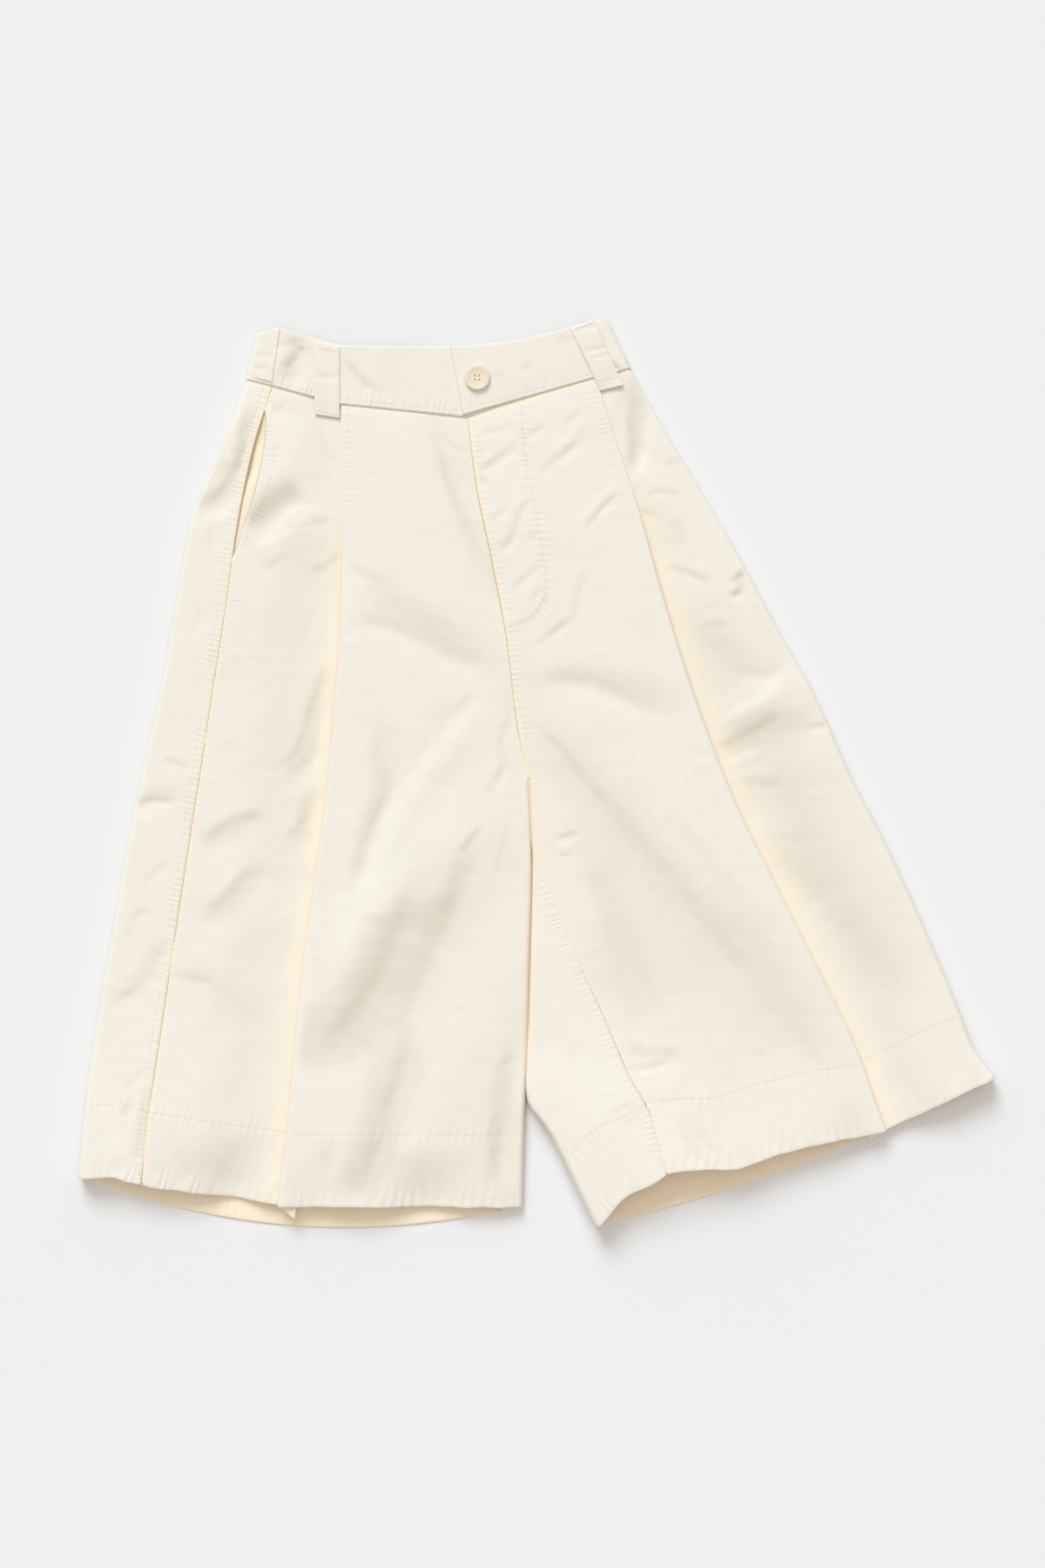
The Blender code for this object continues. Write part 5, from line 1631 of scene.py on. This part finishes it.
def back_band_row(share):
    """The band's back, along the floor and round the right side to the side seam."""
    left, right = Half("left", 0.0), Half("right", 0.0)
    outer, fold, centre = (band_point(left, LEFT_BAND_TOP, n, share) for n in ("outer", "fold", "edge"))
    far_fold, far, seam = (band_point(right, RIGHT_BAND_TOP, n, share) for n in ("fold", "outer", "seam"))
    first = (BAND_ROUND + TURN_UNDER + SEAM_GAP) / np.linalg.norm(centre - outer)
    s = np.linspace(first, 1, 44)
    near = arc_line(outer, fold, centre, s)
    near[:, 1] -= BACK_BAND_SAG * share * np.sin(np.pi * s)
    stop = 1 - BAND_ROUND / np.linalg.norm(far - centre)
    further = arc_line(centre, far_fold, far, np.linspace(0, stop, 50)[1:-1])
    floor = strip("back_band", np.vstack([near, further]), BAND_ON_FLOOR)
    inward, rim = toward(far, seam), right.height["rim"]
    _, ring = right.round_fold("right_band", far, inward, BAND_ROUND, rim, 14, BAND_ON_FLOOR)
    ring[:, 3], ring[:, 4] = 0, evenly(14)
    end = seam + inward * SEAM_LAP
    s = evenly(9)[1:]
    level = ring[-1, 2] + (right.height["seam"] - ring[-1, 2]) * s
    top = strip("right_band", ring[-1, :2] + (end - ring[-1, :2]) * s[:, None], level, 0.0, 1.0)
    return [floor, ("right_band", ring), top]


def band(name, row_of, row_line, node):
    """Lays one piece of the band, folded double; its row of stitches runs over the parts of row_line."""
    cloth = Cloth(row_of, np.linspace(-BAND_LAP, 1, BAND_ROWS), -1)
    cloth.share[:] = 0
    x, y = cloth.points[..., 0], cloth.points[..., 1]
    fine = crumple(x * 1.2, y * 1.2) * 0.5
    for part in set(cloth.parts):
        at = cloth.parts == part
        # inward is the shade painted along the band's creases
        rise, inward = crease_height(part, x[:, at], y[:, at], sizes().creases)
        fine[:, at] += rise * smooth(cloth.down / 0.16)[:, None]
        cloth.hollow[:, at] = inward
    # warm shade painted along the waist seam and where the band folds in
    cloth.glow[:] = 0.3 * bell(cloth.down[:, None] / 0.04)
    for warm_shade_amount, line in BAND_LINES:
        away, _ = from_line(even_line(on_plan(line), 4), x, y)
        cloth.glow = np.maximum(cloth.glow, warm_shade_amount * bell(away / 2.0))
    cloth.points[..., 2] += cloth.fine * fine
    shown = np.isin(cloth.parts, row_line)
    points = cloth.points[int(round(BAND_ROW / 50 * (BAND_ROWS - 1)))][shown]
    points = points[np.concatenate([[True], lengths_of(np.diff(points[:, :2], axis=0)) > 0.4])]
    SEWN["stitches_band"].append(points)
    cloth.mark_seams([], [(row_line, points[:, :2], 0.0, *BAND_RIPPLE)])
    cloth.double(PLY_APART)
    piece = cloth.make(name, wall(), cloth_finish())
    lay_sheet(piece, cloth, [node])


class SHORTS_OT_waistband(bpy.types.Operator):
    """Fold the waistband double and lay its back and its two front halves"""

    bl_idname, bl_label = "shorts.waistband", "Waistband"

    def execute(self, context):
        parts = ("right_band", "back_band")
        band("cloth_band_back", back_band_row, parts, "band_back")
        band("cloth_band_right", right_band_row, ("right_band",), "band_front_right")
        band("cloth_band_left", left_band_row, ("left_band",), "band_front_left")
        return {"FINISHED"}


# ---- The pocket, and the belt loops ----
def facing_row(down):
    """The facing below the pocket's mouth, under all that the folds and creases press down."""
    half = Half("right", down)
    s = evenly(26)
    plan = half.seam + toward(half.seam, half.fold) * (-FACING_OUT + (FACING_OUT + FACING_IN) * s)[:, None]
    deep = FACING_DEEP * (1 + smooth(1.6 * s))
    x, y = plan[None, :, 0], plan[None, :, 1]
    pressed = fold_height(x, y)
    for part in ("right_back", "right_side"):
        pressed = pressed + crease_height(part, x, y, 1.0)[0]
    low = np.minimum(0.0, pressed)[0]
    return [strip("facing", plan, np.maximum(LEAST_TOP, half.height["seam"] + low - deep), 0.0, 1.0)]


class SHORTS_OT_pocket(bpy.types.Operator):
    """Lay the facing that shows inside the pocket's mouth"""

    bl_idname, bl_label = "shorts.pocket", "Pocket facing"

    def execute(self, context):
        cloth = Cloth(facing_row, np.linspace(FACING_TOP, FACING_LOW, 90), 1)
        x, y = cloth.points[..., 0], cloth.points[..., 1]
        # the facing in the pocket's mouth is painted with warm shade all over
        cloth.glow[:] = 1.0
        cloth.points[..., 2] += crumple(x * 1.4, y * 1.4) * 0.4
        cloth.mark_seams([])
        piece = cloth.make("cloth_pocket_facing", wall(), cloth_finish())
        lay_sheet(piece, cloth, ["pocket_facing"])
        return {"FINISHED"}


def loop_row(side, share):
    """The middle of the strap in one row, from its top (share = 0) to its foot."""
    corners = Loop(*(np.array(corner, float) for corner in BELT_LOOPS[side]))
    waist = Half(side, 0.0)
    near, far = waist.fold, waist.seam if side == "right" else waist.outer
    far_level = waist.height["seam" if side == "right" else "rim"]
    s = evenly(LOOP_ACROSS)[:, None]
    top = corners.top_out + (corners.top_in - corners.top_out) * s
    low = corners.low_out + (corners.low_in - corners.low_out) * s
    plan = top + (low - top) * share
    out = np.clip((near[0] - plan[:, 0]) / (near[0] - far[0]), 0, 1)
    on_band = waist.height["fold"] + (far_level - waist.height["fold"]) * smooth(out)
    stand = LOOP_STAND * math.sin(math.pi * share / LOOP_SEAM) if share < LOOP_SEAM else 0.0
    step = smooth((share - LOOP_STEP) / (1 - LOOP_STEP))
    on_panel = np.maximum(waist.height["under"] + 1.2 + LIE_GAP, on_band - LOOP_FOOT_DROP)
    level = on_band + 0.9 + stand + (on_panel - on_band - 0.9 + 0.6) * step
    return [strip("loop", plan, level + LOOP_WALL / 2 + LIE_GAP)]


def strap_rings(cloth):
    """The strap's outline in each row: over the top, round an edge, back below and round the other."""
    middle, half, rings = cloth.points, LOOP_WALL / 2, []
    _, across, outward = cloth.ways()
    for way, columns in ((1, range(LOOP_ACROSS)), (-1, range(LOOP_ACROSS - 1, -1, -1))):
        rings += [middle[:, k] + outward[:, k] * (half * way) for k in columns]
        edge = columns[-1]
        for turn in (0.35 * math.pi, 0.5 * math.pi, 0.65 * math.pi):
            aside, above = way * LOOP_EDGE * math.sin(turn), way * half * math.cos(turn)
            rings.append(middle[:, edge] + across[:, edge] * aside + outward[:, edge] * above)
    return np.stack(rings, axis=1)


class SHORTS_OT_loops(bpy.types.Operator):
    """Sew the two belt loops over the waistband"""

    bl_idname, bl_label = "shorts.loops", "Belt loops"

    def execute(self, context):
        for side, out in (("right", 1), ("left", -1)):
            cloth = Cloth(lambda share: loop_row(side, share), evenly(LOOP_ALONG), out)
            x, y = cloth.points[..., 0], cloth.points[..., 1]
            dents = crumple(x * 2, y * 2) * 0.35
            for *line, wide, rise in LOOP_DENTS[side]:
                away, _ = from_line(even_line(on_plan(line), 3), x, y)
                dents += rise * bell(away / wide)
            cloth.points[..., 2] += dents
            name = "cloth_belt_loop_" + side
            piece = finished(name, closed_tube(name, strap_rings(cloth), out < 0), cloth_finish(False))
            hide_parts("belt_loop_" + side)
        return {"FINISHED"}


def closed_tube(name, rings, flipped):
    """A closed mesh through rows of rings, with its ends capped."""
    rows, count = rings.shape[:2]
    index = np.arange(rows * count).reshape(rows, count)
    nxt = np.roll(index, -1, axis=1)
    quads = np.stack([index[:-1], index[1:], nxt[1:], nxt[:-1]], -1).reshape(-1, 4).tolist()
    half = count // 2
    for row, back in ((0, False), (rows - 1, True)):
        ring = index[row]
        for k in range(half - 1):
            quad = [ring[k], ring[k + 1], ring[count - 2 - k], ring[count - 1 - k]]
            quads.append(quad if not back else quad[::-1])
    if flipped:
        quads = [quad[::-1] for quad in quads]
    data = bpy.data.meshes.new(name)
    data.from_pydata((rings.reshape(-1, 3) * MM).tolist(), [], quads)
    face_out(data)
    layer = data.uv_layers.new(name="UVMap")
    for corner, place in zip(data.loops, layer.data):
        place.uv = data.vertices[corner.vertex_index].co.xy
    return data


# ---- The button ----
RIM, STEP, STEP_DEEP, WELL, WELL_DEEP, BACK_EDGE = 0.0022, 0.0016, 0.0005, 0.0030, 0.0003, 0.0016  # metres
SOFT_RIM, SOFT_HOLE, HOLE_RADIUS, HOLES_APART = 0.00075, 0.00022, 0.0007, 3.4 * MM
STRANDS_APART, STRAND_LOW, STRAND_RISE, STRAND_SINK = 0.00028, 0.0011, 0.00055, 0.0016
STRAND_RADIUS = 0.3  # millimetres


class SHORTS_OT_button(bpy.types.Operator):
    """Turn the four-hole button and sew it on"""

    bl_idname, bl_label = "shorts.button", "Button"

    def execute(self, context):
        low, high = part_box("button")
        middle, radius, thick = (low + high) / 2, (high.x - low.x) / 2, high.z - low.z
        nothing_selected()
        bpy.ops.mesh.primitive_cylinder_add(vertices=64, radius=radius, depth=thick, location=middle)
        disc = bpy.context.object
        disc.name = "cream_button_disc"
        place_in_mesh(disc)
        bpy.ops.object.mode_set(mode="EDIT")
        bpy.ops.mesh.select_mode(type="FACE")
        select_faces(disc, lambda f: f.normal.z > 0.9)
        bpy.ops.mesh.inset(thickness=RIM)
        bpy.ops.mesh.inset(thickness=STEP)
        bpy.ops.transform.translate(value=(0, 0, -STEP_DEEP))
        bpy.ops.mesh.inset(thickness=WELL)
        bpy.ops.transform.translate(value=(0, 0, -WELL_DEEP))
        select_faces(disc, lambda f: f.normal.z < -0.9)
        bpy.ops.mesh.inset(thickness=BACK_EDGE)
        bpy.ops.object.mode_set(mode="OBJECT")
        soften(disc, SOFT_RIM, 4)
        holes = []
        for across, along in ((-0.5, -0.5), (0.5, -0.5), (0.5, 0.5), (-0.5, 0.5)):
            at = middle + Vector((across, along, 0)) * HOLES_APART
            nothing_selected()
            bpy.ops.mesh.primitive_cylinder_add(vertices=20, radius=HOLE_RADIUS, depth=4 * thick, location=at)
            holes.append(bpy.context.object)
        for hole in holes:
            cut = disc.modifiers.new("hole", "BOOLEAN")
            cut.operation, cut.object, cut.solver = "DIFFERENCE", hole, "EXACT"
            only(disc)
            bpy.ops.object.modifier_apply(modifier=cut.name)
            bpy.data.objects.remove(hole, do_unlink=True)
        soften(disc, SOFT_HOLE, 2)
        disc.data.materials.clear()
        disc.data.materials.append(button_finish(tuple(colours().button)))
        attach(disc, "root")
        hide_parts("button")
        strands, reach = [], HOLES_APART / 2
        for side in (-reach, reach):
            for shift in (-STRANDS_APART, 0.0, STRANDS_APART):
                at = middle + Vector((0, side + shift, 0))
                strands.append((strand_path(at, high.z - STRAND_LOW, reach), STRAND_RADIUS))
        strand_piece("button_thread", strands)
        return {"FINISHED"}


def strand_path(middle, top, reach):
    """A strand of the button's thread: up out of one hole, over, and down into the next."""
    t = evenly(9)
    rise = STRAND_RISE * np.sin(np.pi * np.clip((t - 0.05) / 0.9, 0, 1))
    sink = STRAND_SINK * (np.maximum(0, 0.12 - t) + np.maximum(0, t - 0.88)) / 0.12
    return np.column_stack([middle.x + reach * (2 * t - 1), np.full(9, middle.y), top + rise - sink]) / MM


def nothing_selected():
    """Leaves edit mode and deselects all."""
    if bpy.context.object and bpy.context.object.mode != "OBJECT":
        bpy.ops.object.mode_set(mode="OBJECT")
    bpy.ops.object.select_all(action="DESELECT")


def only(piece):
    """Selects that piece alone."""
    nothing_selected()
    piece.select_set(True)
    bpy.context.view_layer.objects.active = piece


def place_in_mesh(piece):
    """Puts the piece's place into its mesh, so that its object sits at the origin."""
    only(piece)
    bpy.ops.object.transform_apply(location=True, rotation=True, scale=True)


def select_faces(piece, wanted):
    """Selects just the faces that are wanted, in edit mode."""
    bpy.ops.mesh.select_all(action="DESELECT")
    mesh = bmesh.from_edit_mesh(piece.data)
    for face in mesh.faces:
        face.select = wanted(face)
    bmesh.update_edit_mesh(piece.data)


def soften(piece, width, segments):
    """Rounds the piece's edges with a Bevel, applied."""
    only(piece)
    bevel = piece.modifiers.new("soft edge", "BEVEL")
    bevel.width, bevel.segments = width, segments
    bevel.limit_method, bevel.angle_limit = "ANGLE", math.radians(24)
    bpy.ops.object.modifier_apply(modifier=bevel.name)
    bpy.ops.object.shade_smooth_by_angle(angle=math.radians(40))


# ---- Stitches ----
def strand_piece(name, strands, sides=5):
    """Many short lengths of thread as one mesh: each is a path in millimetres and its radius."""
    vertices, faces = [], []
    for path, radius in strands:
        along = np.gradient(path, axis=0)
        along /= lengths_of(along)[:, None]
        beside_it = np.cross(along, [0, 0, 1.0])
        beside_it /= np.maximum(lengths_of(beside_it), 1e-6)[:, None]
        above = np.cross(beside_it, along)
        first, count = len(vertices), len(path)
        for k in range(count):
            wide = radius * (0.45 if k in (0, count - 1) else 1.0)
            for turn in range(sides):
                a = math.tau * turn / sides
                vertices.append((path[k] + (beside_it[k] * math.cos(a) + above[k] * math.sin(a)) * wide) * MM)
        for k in range(count - 1):
            for turn in range(sides):
                a, b = first + k * sides + turn, first + k * sides + (turn + 1) % sides
                faces.append((a, b, b + sides, a + sides))
        faces.append(tuple(first + turn for turn in range(sides))[::-1])
        faces.append(tuple(first + (count - 1) * sides + turn for turn in range(sides)))
    data = bpy.data.meshes.new(name)
    data.from_pydata([tuple(v) for v in vertices], [], faces)
    face_out(data)
    piece = finished(name, data, thread())
    return piece


class Ground:
    """The finished cloth, as what a needle meets from above."""

    def __init__(self, names):
        graph = bpy.context.evaluated_depsgraph_get()
        self.trees = []
        for name in names:
            made = bpy.data.objects[name].evaluated_get(graph)
            mesh = made.to_mesh()
            vertices = [v.co.copy() for v in mesh.vertices]
            polygons = [tuple(p.vertices) for p in mesh.polygons]
            self.trees.append(BVHTree.FromPolygons(vertices, polygons))
            made.to_mesh_clear()

    def top(self, x, y):
        """Height of the topmost cloth there, in millimetres, or None."""
        best = None
        for tree in self.trees:
            hit = tree.ray_cast(Vector((x * MM, y * MM, 0.08)), Vector((0, 0, -1)))[0]
            if hit is not None and (best is None or hit.z > best):
                best = hit.z
        return None if best is None else best / MM


def stitch_row(ground, line, pitch, radius, gap=0.28):
    """Stitches along a plan line, each a short strand that dips into the cloth at both ends."""
    even = even_line(line, pitch)
    strands = []
    for start, end in zip(even, even[1:]):
        start, end = start + (end - start) * gap / 2, end - (end - start) * gap / 2
        path, heights = [], []
        for t in (0.0, 0.18, 0.5, 0.82, 1.0):
            point = (start + (end - start) * t)[:2]
            top = ground.top(*point)
            if top is None or len(start) > 2 and top > start[2] + 1.3:
                break
            heights.append(top)
            path.append([*point, top])
        if len(path) < 5 or max(heights) - min(heights) > 2.0:
            continue
        path = np.array(path)
        path[:, 2] += np.array([-0.32, 0.0, 0.09, 0.0, -0.32])
        strands.append((path, radius))
    return strands


def bar_tack(ground, start, end, wide=1.8, radius=0.17):
    """A dense bar of cross stitches."""
    start, end = (np.array(p, float) for p in (start, end))
    along = toward(start, end)
    across = np.array([-along[1], along[0]])
    strands = []
    for s in np.arange(0, np.linalg.norm(end - start), 0.5):
        middle = start + along * s
        line = np.array([middle - across * wide / 2, middle + across * wide / 2])
        strands += stitch_row(ground, line, wide, radius, 0.0)
    return strands


class SHORTS_OT_stitching(bpy.types.Operator):
    """Sew the rows of stitches, the bar tacks and the buttonhole on the finished cloth"""

    bl_idname, bl_label = "shorts.stitching", "Stitching"

    def execute(self, context):
        names = [o.name for o in bpy.data.objects if o.name.startswith("cloth_")]
        ground = Ground(names)
        pitch, radius = sizes().stitch / MM, sizes().thread / MM / 2
        groups = {"stitches_seams": [], "stitches_hems": [], "stitches_band": [], "stitches_tacks": []}
        for name, lines in SEWN.items():
            for line in lines:
                groups[name] += stitch_row(ground, line, pitch, radius)
        for seam in SEAMS:
            if not seam.groove:
                continue
            half = seam.rows_apart / 2
            for shift in (half, -half) if half else (0.0,):
                row = beside(sewn_line(seam), seam.aside + shift)
                groups["stitches_seams"] += stitch_row(ground, row, pitch, radius)
        for ends in SMALL_ROWS:
            groups["stitches_band"] += stitch_row(ground, on_plan(ends), pitch, radius)
        tacks = groups["stitches_tacks"]
        for ends in BAR_TACKS:
            tacks += bar_tack(ground, *on_plan(ends))
        start, end = on_plan(BUTTONHOLE)
        along = toward(start, end)
        across = np.array([-along[1], along[0]])
        for side in (-1.1, 1.1):
            tacks += bar_tack(ground, start + across * side, end + across * side, 1.3, 0.16)
        tacks += bar_tack(ground, end - across * 1.8, end + across * 1.8, 1.4, 0.16)
        for name, strands in groups.items():
            if strands:
                strand_piece(name, strands)
        return {"FINISHED"}


# ---- The stage ----
LIGHTS = (  # name, strength, degrees wide, the way to it, colour
    ("key_light", 2.10, 30, (-0.24, 0.763, 0.60), (0.93, 1.04, 1.15)),
    ("top_light", 0.75, 70, (0.0, 0.0, 1.0), (1.04, 0.985, 0.93)),
)
SKY, SKY_STRENGTH = (1.04, 0.97, 0.90, 1), 0.45
FLOOR_SIDE, FLOOR_BELOW = 14.0, 0.00005
LENS, SENSOR, SEEN = 64.0, 36.0, (600, 900)  # and the chart's middle


class SHORTS_OT_stage(bpy.types.Operator):
    """Set up the floor, the light and the camera"""

    bl_idname, bl_label = "shorts.stage", "Stage"

    def execute(self, context):
        nothing_selected()
        bpy.ops.mesh.primitive_plane_add(size=FLOOR_SIDE, location=(0, 0, -FLOOR_BELOW))
        floor = context.object
        floor.name = "floor"
        place_in_mesh(floor)
        floor.data.materials.append(floor_finish(tuple(colours().floor)))
        for name, energy, angle, toward_it, colour in LIGHTS:
            light = bpy.data.objects.new(name, bpy.data.lights.new(name, "SUN"))
            context.scene.collection.objects.link(light)
            light.data.energy, light.data.angle, light.data.color = energy, math.radians(angle), colour
            light.rotation_euler = Vector(toward_it).to_track_quat("Z", "Y").to_euler()
        world = context.scene.world or bpy.data.worlds.new("studio")
        context.scene.world = world
        world.use_nodes = True
        sky = world.node_tree.nodes["Background"]
        sky.inputs["Color"].default_value, sky.inputs["Strength"].default_value = SKY, SKY_STRENGTH
        camera = bpy.data.objects.new("camera", bpy.data.cameras.new("camera"))
        context.scene.collection.objects.link(camera)
        camera.data.sensor_width, camera.data.lens = SENSOR, LENS
        camera.data.clip_end = 50
        x, y = on_plan([SEEN])[0] * MM
        camera.location = (x, y, sizes().camera_height)
        context.scene.camera = camera
        context.scene.view_settings.view_transform = "Standard"
        return {"FINISHED"}


STEPS = (
    SHORTS_OT_stage,
    SHORTS_OT_backs,
    SHORTS_OT_fronts,
    SHORTS_OT_pocket,
    SHORTS_OT_waistband,
    SHORTS_OT_loops,
    SHORTS_OT_button,
    SHORTS_OT_stitching,
)


class SHORTS_PT_panel(bpy.types.Panel):
    """The steps of making the shorts, and their sizes and colours"""

    bl_idname, bl_label = "SHORTS_PT_panel", "Work shorts"
    bl_space_type, bl_region_type, bl_category = "VIEW_3D", "UI", "Shorts"

    def draw(self, context):
        for group in (context.scene.shorts_sizes, context.scene.shorts_colours):
            for name in group.__annotations__:
                self.layout.prop(group, name)
        for step in STEPS:
            self.layout.operator(step.bl_idname)


CLASSES = (ShortsSizes, ShortsColours, *STEPS, SHORTS_PT_panel)


def register():
    for kind in CLASSES:
        bpy.utils.register_class(kind)
    bpy.types.Scene.shorts_sizes = PointerProperty(type=ShortsSizes)
    bpy.types.Scene.shorts_colours = PointerProperty(type=ShortsColours)


def unregister():
    del bpy.types.Scene.shorts_colours, bpy.types.Scene.shorts_sizes
    for kind in reversed(CLASSES):
        bpy.utils.unregister_class(kind)


def main():
    register()
    for step in STEPS:
        group, name = step.bl_idname.split(".")
        getattr(getattr(bpy.ops, group), name)()


if __name__ == "__main__":
    main()
